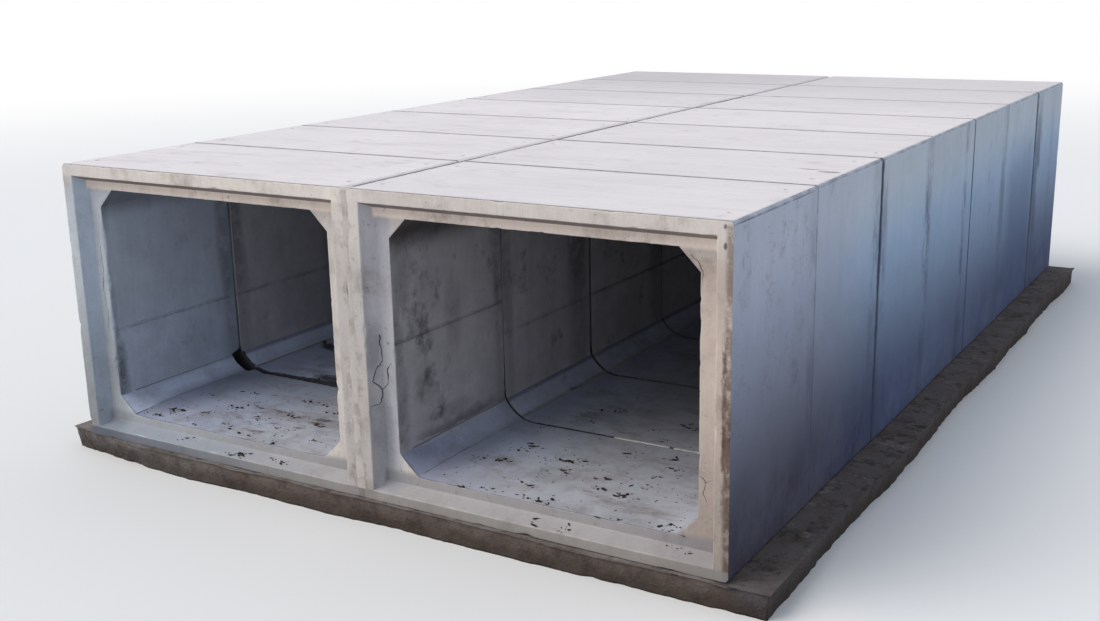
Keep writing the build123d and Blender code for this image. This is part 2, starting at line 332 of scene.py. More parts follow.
class UnitSkin:
    """Closed skin of one unit. Rings run lengthways over the outside, the tongue, back through the
    cell and out over the socket; columns run round the eight sides. The methods after the grid
    each move its points, in the order in which skin() calls them."""

    def __init__(self, s, row, number):
        self.s, self.row, self.number = s, row, number
        self.seed = 100 * ROWS.index(row) + 10 * number
        self.line = FORM_LINES.get((row, number))
        self.corners = profile_corners(s)
        self.half, self.top = self.corners[0, [1, 3]]
        low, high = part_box(f"unit_{row}_{number}")
        self.place = np.array([(low.x + high.x) / 2, low.y, low.z])
        step, lengthways, short_step, parts, near, circles = GRIDS[min(number, len(GRIDS)) - 1]
        pocket = s.pocket_radius * np.array([0, *circles])
        pocket = np.unique(np.concatenate([pocket, -pocket]))
        self.lay_columns(step, parts, near, pocket)
        rings = self.lay_rings(lengthways, short_step, near, pocket)
        flat = loop_points(rings, self.side, self.share)
        y = np.broadcast_to(rings[:, :1], flat.shape[:2])
        self.points = np.stack([flat[..., 0], y, flat[..., 1]], -1)
        self.round = np.cumsum(np.hypot(*(np.roll(flat[0], -1, 0) - flat[0]).T))
        self.edge = loop_points(self.corners, self.side, self.share)
        self.outside = self.leg == OUTSIDE
        self.out = self.outward()

    def lay_columns(self, step, parts, near, pocket):
        """Side and share of each column: even lines, and more of them beside the edges, over the
        lifting pockets and at the groove of the form."""
        s = self.s
        roof, wall = 2 * (self.half - s.arris), self.top - 2 * s.arris
        inset = s.pocket_in - s.arris
        groove = np.zeros(0)
        if self.line:
            clear = s.cell_height - s.haunch_foot - s.haunch_top
            groove = (self.line - s.floor - s.haunch_foot) / clear * wall + GROOVE_LINES
        pockets = np.concatenate([inset + pocket, roof - inset + pocket])
        extras = {RIGHT: groove, LEFT: wall - groove, TOP: pockets}
        self.spans = np.array([roof, 0, wall, 0] * 2)
        side, share = [], []
        for n, span in enumerate(self.spans):
            if span:
                at = lines(span, step, near, extras.get(n, ())) / span
            else:
                at = np.linspace(0, 1, parts + 1)
            side.append(np.full(len(at) - 1, n))
            share.append(at[:-1])
        self.side, self.share = np.concatenate(side), np.concatenate(share)

    def lay_rings(self, lengthways, short_step, near, pocket):
        """Leg of the profile that each ring lies on, how far along it and how far from its end;
        gives the loops there, as profile_corners does."""
        s, after = self.s, np.roll(self.corners, -1, axis=0)
        pockets = np.concatenate([s.pocket_front + pocket, s.unit_length - s.pocket_rear + pocket])
        leg, run, left_over = [], [], []
        for n, span in enumerate(np.hypot(*(after - self.corners)[:, :2].T)):
            step = lengthways if n in (OUTSIDE, CELL) else short_step
            at = lines(span, step, near, pockets if n == OUTSIDE else ())
            leg.append(np.full(len(at) - 1, n))
            run.append(at[:-1])
            left_over.append(span - at[:-1])
        self.leg, self.run, self.left_over = map(np.concatenate, (leg, run, left_over))
        way = (self.run / (self.run + self.left_over))[:, None]
        return self.corners[self.leg] * (1 - way) + after[self.leg] * way

    def outward(self):
        """The way out of the concrete on each leg of the profile, column by column."""
        at_corner = (self.share == 0)[:, None]
        facing = SIDES[self.side] + at_corner * SIDES[self.side - 1]
        facing /= np.linalg.norm(facing, axis=1)[:, None]
        out = np.zeros((8, len(facing), 3))
        out[[OUTSIDE, TONGUE], :, ::2] = facing
        out[[CELL, SOCKET], :, ::2] = -facing
        out[[REAR, TIP], :, 1] = 1
        out[[SHOULDER, RIM], :, 1] = -1
        return out

    def wear_edges(self):
        """Rounds and chips the edges that stick out: a point moves into the concrete along the two
        faces that meet there by half of (wear − distance to the edge), so a chip is a flat cut."""
        s, seed = self.s, self.seed
        wear = np.zeros(self.out.shape[:2])
        for n in WORN_CORNERS:
            rough = wander(self.round, 0.035, seed + n)
            chips = np.clip((wander(self.round, 0.1, seed + n + 40) - 0.72) / 0.28, 0, 1)
            wear[n] = s.edge_wear * (1 + 0.5 * rough) + s.chip * 0.5 * chips * (0.7 + 0.3 * rough)
        for n, x, z, reach, depth in BROKEN.get((self.row, self.number), ()):
            away = np.hypot(*(self.edge[n] + self.place[::2] - (x, z)).T)
            rough = 1 + 0.4 * wander(self.round, 0.02, seed + 77)
            wear[n] += depth * np.exp(-((away / reach) ** 2)) * rough
        inward = -(self.out + np.roll(self.out, 1, axis=0))
        for leg, gap in ((self.leg, self.run), ((self.leg + 1) % 8, self.left_over)):
            self.points += inward[leg] * np.clip(wear[leg] - gap[:, None], 0, None)[..., None] / 2

    def round_arrises(self):
        """Rounds the long edges either side of each arris in the same way, unevenly lengthways."""
        side, share = self.side, self.share
        span = np.where(side % 2 == 0, self.spans[side], self.s.arris * math.sqrt(2))
        uneven = wander(self.points[self.outside, :1, 1] + 9, 0.06, self.seed + 3)
        for gap, other in ((share * span, side - 1), ((1 - share) * span, (side + 1) % 8)):
            depth = np.clip(ARRIS_WEAR * (1.2 + uneven) - gap, 0, None)[..., None] / 2
            self.points[self.outside, :, ::2] -= (SIDES[side] + SIDES[other]) * depth

    def press_form_line(self):
        """Groove that the form left along the walls of the cell, a bell curve about its height."""
        if self.line:
            cell = self.leg == CELL
            off = (self.points[cell][..., 2] - self.line) / GROOVE_WIDTH
            groove = GROOVE_DEPTH * np.exp(-(off**2)) * np.isin(self.side, (LEFT, RIGHT))
            self.points[cell] -= self.out[CELL] * groove[..., None]

    def run_out_haunches(self):
        """The haunches run out softly into the floor and the walls, unevenly along the row, and
        little at the mouth of the cell."""
        s = self.s
        lining = (self.leg == CELL) | ((self.leg == SHOULDER) & (self.run == 0))
        corner = np.abs(self.edge[CELL])
        to_floor = np.hypot(*(corner - (s.cell_width / 2 - s.haunch_foot, s.floor)).T)
        to_wall = np.hypot(*(corner - (s.cell_width / 2, s.floor + s.haunch_foot)).T)
        fill = run_out(HAUNCH_REACH[self.row], to_floor) + run_out(WALL_REACH, to_wall)
        mouth = MOUTH_SHARE if self.number == 1 else 1.0
        inside = np.clip(self.left_over / MOUTH_LENGTH, mouth, 1)
        inside = np.where(self.leg == SHOULDER, mouth, inside)[lining]
        uneven = 1 + 0.15 * wander(self.points[lining, :1, 1] + self.place[1] + 20, 0.2, 7)
        self.points[lining] += self.out[CELL] * (inside[:, None] * fill * uneven)[..., None]

    def break_tongue(self):
        """Breaks off the lower left corner of the tongue, with a ragged edge beside it: what lies
        behind the rear shoulder is drawn towards it, all but a stub."""
        (x, z), seed, along = self.edge[CELL].T, self.seed, self.round
        ragged = 0.02 * wander(along, 0.05, seed + 5)
        to_floor, to_wall = x + self.half - 0.46 + ragged, z - 0.375 + ragged
        gone = ease(np.clip(1 - np.maximum(to_floor, to_wall) / 0.03, 0, 1))
        worn = 0.06 + 0.2 * np.clip((x + 0.9) / 1.5, 0, 1) + 0.06 * wander(along, 0.05, seed + 8)
        stub = 1 - gone * (0.86 + 0.1 * wander(along, 0.03, seed + 6))
        stub = np.minimum(stub, 1 - np.where(z < 0.3, worn, 0))
        behind = np.clip(self.points[..., 1] - self.s.unit_length, 0, None)
        self.points[..., 1] -= behind * (1 - stub)
        rough = 0.006 * lumps(self.points + 3, 0.02, seed)
        self.points[..., 1] += rough * gone * (behind > 0.002)

    def sink_pockets(self):
        """Draws the square rings round each lifting pocket to circles and sinks them."""
        s, roof = self.s, self.points[self.outside]
        on_roof = (self.side == TOP) | ((self.side == TOP + 1) & (self.share == 0))
        for x in (self.half - s.pocket_in, s.pocket_in - self.half):
            for y in (s.pocket_front, s.unit_length - s.pocket_rear):
                gap = roof[..., :2] - (x, y)
                square = np.abs(gap).max(axis=-1) / s.pocket_radius
                ring = np.hypot(gap[..., 0], gap[..., 1]) + 1e-9
                circle = np.interp(square, *CIRCLE) * s.pocket_radius
                square_again = np.clip((square - 1.25) / 0.4, 0, 1)
                drawn = (circle * (1 - square_again) + ring * square_again) / ring
                moved = (x, y) + gap * drawn[..., None]
                inside = (square < 1.66) & on_roof
                roof[..., :2] = np.where(inside[..., None], moved, roof[..., :2])
                roof[..., 2] -= np.where(inside, np.interp(square, *SUNK) * s.pocket_depth, 0)
        self.points[self.outside] = roof

    def skin(self):
        """Points and faces of the shaped skin, and the number of each face's finish."""
        self.wear_edges()
        self.round_arrises()
        self.press_form_line()
        self.run_out_haunches()
        if (self.row, self.number) == BROKEN_TONGUE:
            self.break_tongue()
        self.sink_pockets()
        rings, cols = self.points.shape[:2]
        r, c = np.meshgrid(np.arange(rings), np.arange(cols), indexing="ij")
        down, on = (r + 1) % rings * cols, (c + 1) % cols
        quads = np.stack([r * cols + c, down + c, down + on, r * cols + on], -1).reshape(-1, 4)
        leg = self.leg[:, None]
        roof, flank, rim, cell = range(len(UNIT_FINISHES))
        where = [leg == CELL, leg != OUTSIDE, self.side == TOP]
        region = np.select(where, [cell, rim, roof], flank)
        return (self.points.reshape(-1, 3) + self.place, quads), region.ravel()


# Bed, grout, mortar and the small pieces

# rings of the bed: up its sides in shares of its depth, and in over its top in metres
BED_UP = np.array([0, 0.1, 0.225, 0.35, 0.475, 0.6, 0.725, 0.84, 0.92, 0.97])
BED_OVER = np.array([0, 0.008, 0.02, 0.04, 0.065, 0.09, *np.arange(0.12, 0.37, 0.03), 0.5, 1.2])
# hollows dug under the front edge: x, half width and depth; they end at that y
DUG = ((-2.7, 0.4, 0.8), (2.2, 0.35, 0.3))
DUG_FRONT_Y = -5.2


def bed_skin(s):
    """Bed as closed loops round its edge, from the underside up the ragged sides and in over the
    top. A loop is the frame's outline drawn towards the middle by an inset that differs from
    point to point; the sides get lumps of the dug ground, the top trowel waves and mud."""
    co = np.array([v.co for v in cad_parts["concrete_bed"].data.vertices])
    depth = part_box("concrete_bed")[1].z
    rim = np.unique(np.round(co[co[:, 2] > 0.95 * depth, :2], 5), axis=0)
    rim = rim[np.argsort(np.arctan2(rim[:, 1] / 1.6, rim[:, 0]))]
    closed = np.vstack([rim, rim[:1]])
    walked = walk(closed)
    at = np.unique(np.concatenate([walked[:-1], np.arange(0, walked[-1] - 0.01, s.bed_grid)]))
    edge = np.stack([np.interp(at, walked, closed[:, n]) for n in range(2)], 1)
    height = np.concatenate([[0, 0], BED_UP * depth, np.full(len(BED_OVER), depth)])
    inset = np.concatenate([[1.2, 0.25], 0.014 * (1 - BED_UP) + 0.004, BED_OVER + 0.003])[:, None]
    grid = np.broadcast_to(edge, (len(height), *edge.shape))
    spot = np.concatenate([grid, np.broadcast_to(height[:, None, None], (*grid.shape[:2], 1))], -1)

    on_top = height[:, None] > depth - 0.001
    on_side = ~on_top & (inset < 0.2)
    low_down = np.clip(1 - height / depth / 0.75, 0, 1)[:, None] ** 0.5
    dug = 0.16 * np.clip(wander(at, 0.7, 9), 0, 1)
    for x, half, amount in DUG:
        dug += amount * np.exp(-(((edge[:, 0] - x) / half) ** 2)) * (edge[:, 1] < DUG_FRONT_Y)
    broken = 0.012 + 0.007 * lumps(spot, 0.4, 5) + 0.007 * lumps(spot, 0.11, 6)
    broken += 0.005 * lumps(spot, 0.04, 14)
    inset = inset + on_side * (broken + 0.07 * dug * low_down * (0.8 + 0.3 * lumps(spot, 0.08, 7)))

    crumbled = np.clip(lumps(spot, 0.22, 8) - 0.1, 0, 1) * np.clip(1 - inset / 0.09, 0, 1)
    wave = 0.0035 * lumps(spot, 0.3, 11) + 0.002 * lumps(spot, 0.06, 12)
    mud = 0.012 * np.clip(lumps(spot, 0.17, 13) - 0.25, 0, 1)
    relief = wave + mud - 0.03 * crumbled
    z = spot[..., 2] + on_top * np.clip(1.1 - inset / 0.4, 0, 1) * relief
    flat = grid * (1 - inset[..., None] / np.abs(edge).max(axis=0))
    return closed_loops(np.concatenate([flat, z[..., None]], -1)[None])


def grout_skin(s):
    """Grout between the rows: one closed loop for each station along Y, as wide as the two units
    leave it there, with a sunk and uneven top that rises to the roof over the first 0.2 m."""
    low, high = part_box("row_grout")
    y = lines(high.y - low.y - 0.004, 0.03, (0.004, 0.012)) + low.y + 0.002
    number = np.clip(((y - FRONT_Y) / s.pitch).astype(int), 0, 6)
    left = np.array([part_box(f"unit_left_{n}")[1].x for n in UNITS])[number]
    right = np.array([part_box(f"unit_right_{n}")[0].x for n in UNITS])[number]
    fill = np.clip((FRONT_Y + 0.24 - y) / 0.1 + 0.3 * wander(y, 0.03, 31), 0, 1)
    top = high.z - 0.004 + 0.009 * wander(y, 0.09, 32) + fill * 0.052
    flare = np.clip(top - (ROOF_Z - s.arris), 0, None)
    share = np.array([0, 0.25, 0.5, 0.75, 1])
    crown = np.array([0, 0.004, 0.006, 0.003, 0]) - 0.003
    over_x = (left - flare)[:, None] + (right - left + 2 * flare)[:, None] * share
    over_z = top[:, None] + crown + 0.003 * wander(y[:, None] * 3 + share * 2, 0.05, 33)
    over_z = np.minimum(over_z, ROOF_Z - 0.0006)
    neck = np.minimum(top - 0.012, ROOF_Z - s.arris)
    foot = np.full_like(y, low.z)
    x = np.concatenate([over_x, np.stack([right, right, left, left], 1)], 1)
    z = np.concatenate([over_z, np.stack([neck, foot, foot, neck], 1)], 1)
    loops = np.stack([x, np.broadcast_to(y[:, None], x.shape), z], -1)
    return join_skins([closed_loops(loops[None]), smear_skin()])


def smear_skin():
    """Grout wiped over the joint on the front of the post: a low crown, 1 - u² across, on a strip
    whose half width and middle wander with height."""
    z = lines(ROOF_Z - UNDERSIDE - 0.02, 0.014, (0.004,)) + UNDERSIDE + 0.006
    half = 0.036 + 0.014 * wander(z, 0.11, 51) + 0.006 * wander(z, 0.03, 52)
    middle = 0.008 * wander(z, 0.2, 53)
    u = np.linspace(-1, 1, 9)
    thick = (0.0018 + 0.0011 * wander(z, 0.06, 54))[:, None] * (1 - u**2)
    x = middle[:, None] + half[:, None] * np.concatenate([u, u[::-3]])
    front, back = FRONT_Y - thick + 0.0016 * u**8, np.full((len(z), 3), FRONT_Y + 0.008)
    y = np.concatenate([front, back], 1)
    return closed_loops(np.stack([x, y, np.broadcast_to(z[:, None], x.shape)], -1)[None])


# floor joint, and where its mortar starts and ends, from the cell's left wall
MORTAR_RUNS = {
    "left": ((1, 0.42, 0.9), (3, 0.3, 1.5)),
    "right": ((0, 1.06, 1.56), (0, 1.6, 2.23), (1, 0.3, 1.25), (3, 0.5, 2.0)),
}


def mortar_skin(s, row):
    """Mortar in the floor joints: loops along X whose width, crown and ends wander."""
    skins = []
    turn = np.linspace(0, 2 * math.pi, 12, endpoint=False)
    along, up = np.clip(1.25 * np.cos(turn), -1, 1), np.sin(turn)
    in_joint = s.inner_gap / 2 - 0.0002
    for joint, start, end in MORTAR_RUNS[row]:
        low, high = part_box(f"unit_{row}_{joint + 1}")
        y = FRONT_Y + (joint + 1) * s.pitch + s.socket_depth - s.inner_gap / 2
        run = lines(end - start, 0.014, (0.003, 0.008))
        x = (low.x + high.x) / 2 - s.cell_width / 2 + start + run
        rise = np.clip(np.minimum(run, end - start - run) / 0.03, 0.05, 1) ** 0.5
        wide = s.inner_gap / 2 + rise * (0.006 + 0.005 * wander(x, 0.04, 41 + joint))
        crown = rise * (0.004 + 0.002 * wander(x, 0.03, 44 + joint))
        across = along * wide[:, None]
        across = np.where(up < -0.1, np.clip(across, -in_joint, in_joint), across)
        z = UNDERSIDE + s.floor + 0.0006 + np.where(up > 0, up * crown[:, None], up * 0.02)
        loops = np.stack([np.broadcast_to(x[:, None], z.shape), y + across, z], -1)
        skins.append(closed_loops(loops[None]))
    return join_skins(skins)


PIN_LEVELS = np.array([0, 0.45, 0.56, 0.6, 0.66, 0.86, 0.95, 1.0])
PIN_GIRTHS = np.array([0.62, 0.62, 0.7, 0.92, 1.0, 1.0, 0.9, 0.72])


def pin_skin(s, row):
    """Lifting pins: a turned profile with a rounded head over a neck, one on each pocket floor."""
    spots = []
    for number in UNITS:
        low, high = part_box(f"unit_{row}_{number}")
        rear = low.y + s.unit_length - s.pocket_rear
        for x in (low.x + s.pocket_in, high.x - s.pocket_in):
            spots += [(x, low.y + s.pocket_front), (x, rear)]
    low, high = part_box(f"lifting_anchors_{row}")
    level = PIN_LEVELS * (high.z - low.z) + low.z
    turn = np.linspace(0, 2 * math.pi, 14, endpoint=False)
    ring = np.stack([np.cos(turn), np.sin(turn)], -1)
    girth = (PIN_GIRTHS * s.pin_radius)[:, None, None]
    flat = np.array(spots)[:, None, None, :] + girth * ring
    z = np.broadcast_to(level[:, None, None], (*flat.shape[:3], 1))
    return closed_loops(np.concatenate([flat, z], -1))


def floor_height(s, row, x, y):
    """Height of the floor, x from the row's middle: the sloping socket, then the cell's floor and
    what fills the foot of its haunches, which starts thin at the mouth."""
    slope = s.rim_foot + s.socket_draft * np.clip(y - FRONT_Y, 0, None) / s.socket_depth
    to_haunch = np.clip(s.cell_width / 2 - s.haunch_foot - np.abs(x), 0, None)
    inside = np.clip((y - FRONT_Y - s.socket_depth) / MOUTH_LENGTH, MOUTH_SHARE, 1)
    fill = run_out(HAUNCH_REACH[row], to_haunch) * inside
    return UNDERSIDE + np.where(y < FRONT_Y + s.socket_depth, slope, s.floor + fill)


CLUSTERS = {
    "right": (
        (0.64, -4.59), (0.80, -4.54), (0.84, -4.25), (0.89, -4.15), (1.26, -4.33), (1.38, -4.51),
        (1.30, -4.89), (1.74, -4.72), (1.71, -4.50), (1.98, -4.72), (2.05, -4.51), (1.99, -3.89),
        (2.12, -4.08), (1.37, -5.08), (1.58, -5.09), (1.09, -5.08), (2.15, -5.12), (2.52, -5.11),
        (2.58, -5.05), (1.67, -4.0), (1.04, -3.12), (1.08, -3.07), (1.02, -3.44), (1.73, -3.54),
        (1.39, -4.26), (1.61, -3.39), (1.76, -3.12), (0.87, -5.13), (1.84, -3.16), (1.60, -5.24),
        (1.81, -5.24), (2.65, -5.19), (2.7, -5.12), (2.05, -4.3), (2.2, -3.7),
    ),
    "left": (
        (-1.96, -5.09), (-2.42, -4.44), (-1.27, -5.24), (-0.92, -5.23), (-2.13, -4.22),
        (-1.82, -4.49), (-1.38, -4.52), (-1.55, -4.15), (-1.41, -5.08), (-1.05, -5.1),
        (-2.54, -2.65), (-1.90, -3.62), (-2.39, -4.87), (-2.41, -4.94), (-1.70, -4.95),
        (-1.19, -4.83), (-2.43, -2.76), (-1.47, -4.14), (-1.32, -4.15), (-2.58, -5.07),
        (-2.44, -5.05), (-2.15, -4.81), (-1.36, -5.24), (-1.95, -5.22), (-1.6, -4.7),
        (-1.0, -4.6), (-0.8, -4.9), (-1.1, -4.3), (-2.0, -4.6),
    ),
}
LITTER_REACH = 6


def crumb_skin(s, row):
    """Loose crumbs and dry flakes: each is a small round of loops, flattened, bent, turned and
    scaled. Most lie in the clusters, the others thin out from the mouth into the cell."""
    dice = np.random.default_rng(61 + ROWS.index(row))
    centre = np.array(CLUSTERS[row])
    per = dice.integers(5, 12, len(centre))
    near = np.repeat(centre, per, axis=0) + dice.normal(0, 0.024, (per.sum(), 2)) * (2.0, 1.1)
    low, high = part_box(f"unit_{row}_1")
    middle = (low.x + high.x) / 2
    loose_x = middle + dice.uniform(-1.06, 1.06, s.litter)
    behind = 0.16 + dice.gamma(1.6, 0.75, s.litter)
    clear = (behind < LITTER_REACH) & (np.abs(behind - s.pitch - s.socket_depth) > 0.04)
    loose = np.stack([loose_x, FRONT_Y + behind], 1)[clear]
    spot = np.concatenate([near, loose])
    count = len(spot)
    big = np.concatenate([dice.choice([0.6, 1.0, 1.9], len(near)), np.full(len(loose), 0.6)])
    flake = dice.random(count) < 0.55

    def drawn(flakes, crumbs):
        """Random sizes from one range for the flakes and another for the crumbs."""
        return np.where(flake, dice.uniform(*flakes, count), dice.uniform(*crumbs, count))

    long = drawn((0.006, 0.02), (0.003, 0.009)) * big
    wide = long * drawn((0.25, 0.55), (0.6, 0.95))
    thin, stout = dice.uniform(0.0012, 0.003, count), long * dice.uniform(0.35, 0.6, count)
    thick = np.where(flake, thin, stout)
    bend = np.where(flake, dice.uniform(0.0, 0.25, count), 0.05) * long
    across = np.where(flake, dice.normal(0, 0.5, count), dice.uniform(-1.5, 1.5, count))
    u = np.array([-0.97, -0.7, -0.25, 0.25, 0.7, 0.97])[:, None]
    turn = np.linspace(0, 2 * math.pi, 6, endpoint=False)
    swell = np.sqrt(1 - u**2) * (1 + 0.3 * dice.uniform(-1, 1, (count, 6, 6)))
    long, wide, thick, bend, across = (v[:, None, None] for v in (long, wide, thick, bend, across))
    x = u * long + np.zeros(swell.shape)
    y = np.cos(turn) * swell * wide
    z = np.sin(turn) * swell * thick + u**2 * bend
    ground = floor_height(s, row, spot[:, 0] - middle, spot[:, 1])[:, None, None]
    z = z - z.min(axis=(1, 2), keepdims=True) * 0.7 + ground
    c, d = np.cos(across), np.sin(across)
    on_x, on_y = spot[:, 0, None, None], spot[:, 1, None, None]
    return closed_loops(np.stack([x * c - y * d + on_x, x * d + y * c + on_y, z], -1))


CRACKS = (
    (
        (0.159, 1.49), (0.153, 1.437), (0.174, 1.371), (0.172, 1.3), (0.146, 1.252),
        (0.109, 1.221), (0.087, 1.164), (0.066, 1.115), (0.104, 1.096), (0.159, 1.064),
        (0.155, 1.006), (0.126, 0.948), (0.065, 0.916), (0.015, 0.894),
    ),
    (
        (0.159, 1.064), (0.195, 1.092), (0.221, 1.135), (0.214, 1.192), (0.216, 1.236),
        (0.238, 1.27), (0.262, 1.282),
    ),
    ((2.806, 0.869), (2.842, 0.826), (2.893, 0.85)),
    ((2.842, 0.826), (2.829, 0.731), (2.866, 0.667)),
    ((2.72, 2.353), (2.776, 2.312), (2.812, 2.231), (2.806, 2.163)),
    ((-2.86, 1.9), (-2.85, 1.72), (-2.87, 1.5), (-2.845, 1.32), (-2.862, 1.1)),
)
# the first cracks in CRACKS are the wide ones
WIDE_CRACKS = 2
# the sloping socket wall beside the right cell: where it meets the shoulder, how far x runs for
# each metre nearer, how far a place on it then lies to the right and up, and the way it faces
SLOPE_X, SLOPE_RUN, NEARER_X, NEARER_Z = 0.1725, 1.203, 0.818, 0.39
SLOPE_NORMAL = (0.933, -0.359, 0)


def crack_skin(s):
    """Cracks in the front sockets: four-sided threads of changing width. Their points lie in the
    plane of the shoulders; one left of x = 0.1725 stands for a place on the sloping socket wall
    beside the right cell, b = (0.1725 − x) / 1.203 nearer, where the line of sight meets it."""
    skins = []
    low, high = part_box("unit_right_1")
    aside = (low.x + high.x) / 2 - (s.cell_width / 2 + s.wall + 0.0125)
    for number, crack in enumerate(CRACKS):
        crack = np.array(crack)
        walked = walk(crack)
        at = np.arange(0, walked[-1], 0.008)
        x = np.interp(at, walked, crack[:, 0]) + 0.005 * wander(at, 0.022, 70 + number)
        z = np.interp(at, walked, crack[:, 1]) + 0.005 * wander(at, 0.03, 90 + number)
        nearer = np.clip((SLOPE_X - x) / SLOPE_RUN, 0, 0.128) * (x > 0)
        x = x + NEARER_X * nearer + aside * (x > 0)
        y = FRONT_Y + s.socket_depth - nearer
        place = np.stack([x, y, z + NEARER_Z * nearer], 1)
        normal = np.where((nearer > 0)[:, None], SLOPE_NORMAL, (0.0, -1.0, 0.0))
        across = np.cross(np.gradient(place, axis=0), normal)
        across /= np.linalg.norm(across, axis=1)[:, None]
        wide = 0.0032 + 0.0016 * wander(at, 0.05, 80 + number)
        wide *= np.clip((walked[-1] - at) / 0.08, 0.3, 1) * (1.4 if number < WIDE_CRACKS else 0.8)
        off = across * wide[:, None]
        sides = [place + off, place + normal * 0.0012, place - off, place - normal * 0.001]
        skins.append(closed_loops(np.stack(sides, 1)[None]))
    return join_skins(skins)


# Finishes


def arithmetic(operation, swapped=False):
    """The method of a reading that puts a Math node between it and another reading or a number."""

    def method(self, other=0.0):
        first, second = (other, self) if swapped else (self, other)
        return self.nodes.node("ShaderNodeMath", {"operation": operation}, {0: first, 1: second})

    return method


class Reading:
    """A number or colour socket, with the arithmetic on it written as an expression."""

    def __init__(self, nodes, socket):
        self.nodes = nodes
        self.socket = socket

    __add__ = __radd__ = arithmetic("ADD")
    __mul__ = __rmul__ = arithmetic("MULTIPLY")
    __sub__ = arithmetic("SUBTRACT")
    __rsub__ = arithmetic("SUBTRACT", swapped=True)
    __truediv__ = arithmetic("DIVIDE")
    __pow__ = arithmetic("POWER")
    __abs__ = arithmetic("ABSOLUTE")
    floor = arithmetic("FLOOR")
    most = arithmetic("MAXIMUM")

    def ramp(self, start, end):
        """0 below start, 1 past end, eased between them; start may be the larger."""
        settings = {"interpolation_type": "SMOOTHSTEP"}
        inputs = {0: self, 1: start, 2: end, 3: 0.0, 4: 1.0}
        return self.nodes.node("ShaderNodeMapRange", settings, inputs)


class Nodes:
    """The nodes of a material or a world."""

    def __init__(self, owner):
        owner.use_nodes = True
        self.tree = owner.node_tree
        self.tree.nodes.clear()

    def node(self, kind, settings=None, inputs=None, output=0):
        """A node of that kind, with its settings and the values or links of its sockets, as the
        reading of one of its outputs. A node without outputs gives None."""
        made = self.tree.nodes.new(kind)
        for key, value in (settings or {}).items():
            setattr(made, key, value)
        for key, value in (inputs or {}).items():
            socket = made.inputs[key]
            if isinstance(value, Reading):
                self.tree.links.new(value.socket, socket)
            elif socket.type == "RGBA":
                socket.default_value = (*value, 1.0)
            else:
                socket.default_value = value
        return Reading(self, made.outputs[output]) if made.outputs else None

    def parts(self, vector):
        return [self.node("ShaderNodeSeparateXYZ", inputs={0: vector}, output=n) for n in range(3)]


class Finish(Nodes):
    """One material, with short words for the places and the patterns that the concrete needs."""

    def __init__(self, name):
        self.material = bpy.data.materials.new(name)
        super().__init__(self.material)
        self.place = self.node("ShaderNodeTexCoord", output="Object")
        self.x, self.y, self.z = self.parts(self.place)
        self.behind = self.y - FRONT_Y
        self.up = self.z - UNDERSIDE
        self.down = ROOF_Z - self.z
        normal = self.node("ShaderNodeNewGeometry", output="Normal")
        self.rightward, _, self.upward = self.parts(normal)
        self.ragged = None

    def noise(self, scale, detail, rough, stretch=None, bend=0.0):
        """Cloudy pattern about 0.5; a stretch scales it along each axis, for one that runs."""
        at = self.place
        if stretch:
            settings = {"operation": "MULTIPLY"}
            at = self.node("ShaderNodeVectorMath", settings, {0: self.place, 1: stretch})
        inputs = {"Vector": at, "Scale": scale, "Detail": detail, "Roughness": rough}
        inputs["Distortion"] = bend
        return self.node("ShaderNodeTexNoise", {"noise_dimensions": "3D"}, inputs)

    def cells(self, scale, output):
        """Scattered cells: the distance to the nearest middle, or a random colour for each."""
        inputs = {"Vector": self.place, "Scale": scale}
        return self.node("ShaderNodeTexVoronoi", {"feature": "F1"}, inputs, output)

    def pits(self, scale, share, size):
        """Round pits, 1 inside: in a share of the cells of a scattered grid, of that size."""
        near = self.cells(scale, "Distance").ramp(size, size * 0.55)
        pick = self.node("ShaderNodeSeparateColor", inputs={0: self.cells(scale, "Color")})
        return near * pick.ramp(share, share * 0.8)

    def blob(self, first, second, middle, reach, soft=0.6):
        """A patch with a ragged, soft edge, 1 inside, in the plane of two readings."""
        if self.ragged is None:
            self.ragged = (self.noise(10.0, 6.0, 0.78) - 0.5) * 3.4
        across = (first - middle[0]) / reach[0]
        up = (second - middle[1]) / reach[1]
        return (across * across + up * up + self.ragged).ramp(0.8 + soft, 0.8 - soft)

    def chance(self, *numbers):
        """The same random number, 0 to 1, wherever these numbers are the same."""
        at = self.node("ShaderNodeCombineXYZ", inputs=dict(enumerate(numbers)))
        return self.node("ShaderNodeTexWhiteNoise", {"noise_dimensions": "3D"}, {"Vector": at})

    def mix(self, first, second, factor, kind="MIX"):
        """Two colours mixed; 6, 7 and 2 are the places of a Mix node's colours."""
        settings = {"data_type": "RGBA", "blend_type": kind, "clamp_factor": True}
        return self.node("ShaderNodeMix", settings, {0: factor, 6: first, 7: second}, output=2)

    def coats(self, paint, *layers):
        """Paint under layers of other colours, each (colour, how much of it)."""
        for over, amount in layers:
            paint = self.mix(paint, over, amount)
        return paint

    def shade(self, paint, level):
        """Colour times a number."""
        grey = self.node("ShaderNodeCombineColor", inputs=dict.fromkeys(range(3), level))
        return self.mix(paint, grey, 1.0, "MULTIPLY")

    def bump(self, height, strength, distance):
        inputs = {"Strength": strength, "Distance": distance, "Height": height}
        return self.node("ShaderNodeBump", inputs=inputs)

    def finish(self, paint, roughness, normal, metallic=0.0, sheen=0.5):
        inputs = {"Base Color": paint, "Roughness": roughness, "Normal": normal}
        inputs |= {"Metallic": metallic, "Specular IOR Level": sheen}
        shader = self.node("ShaderNodeBsdfPrincipled", inputs=inputs)
        self.node("ShaderNodeOutputMaterial", inputs={"Surface": shader})
        return self.material


def swing(level, *patterns):
    """The level, moved by each pattern's distance from its middle times its weight."""
    for pattern, weight in patterns:
        level = level + (pattern - 0.5) * weight
    return level


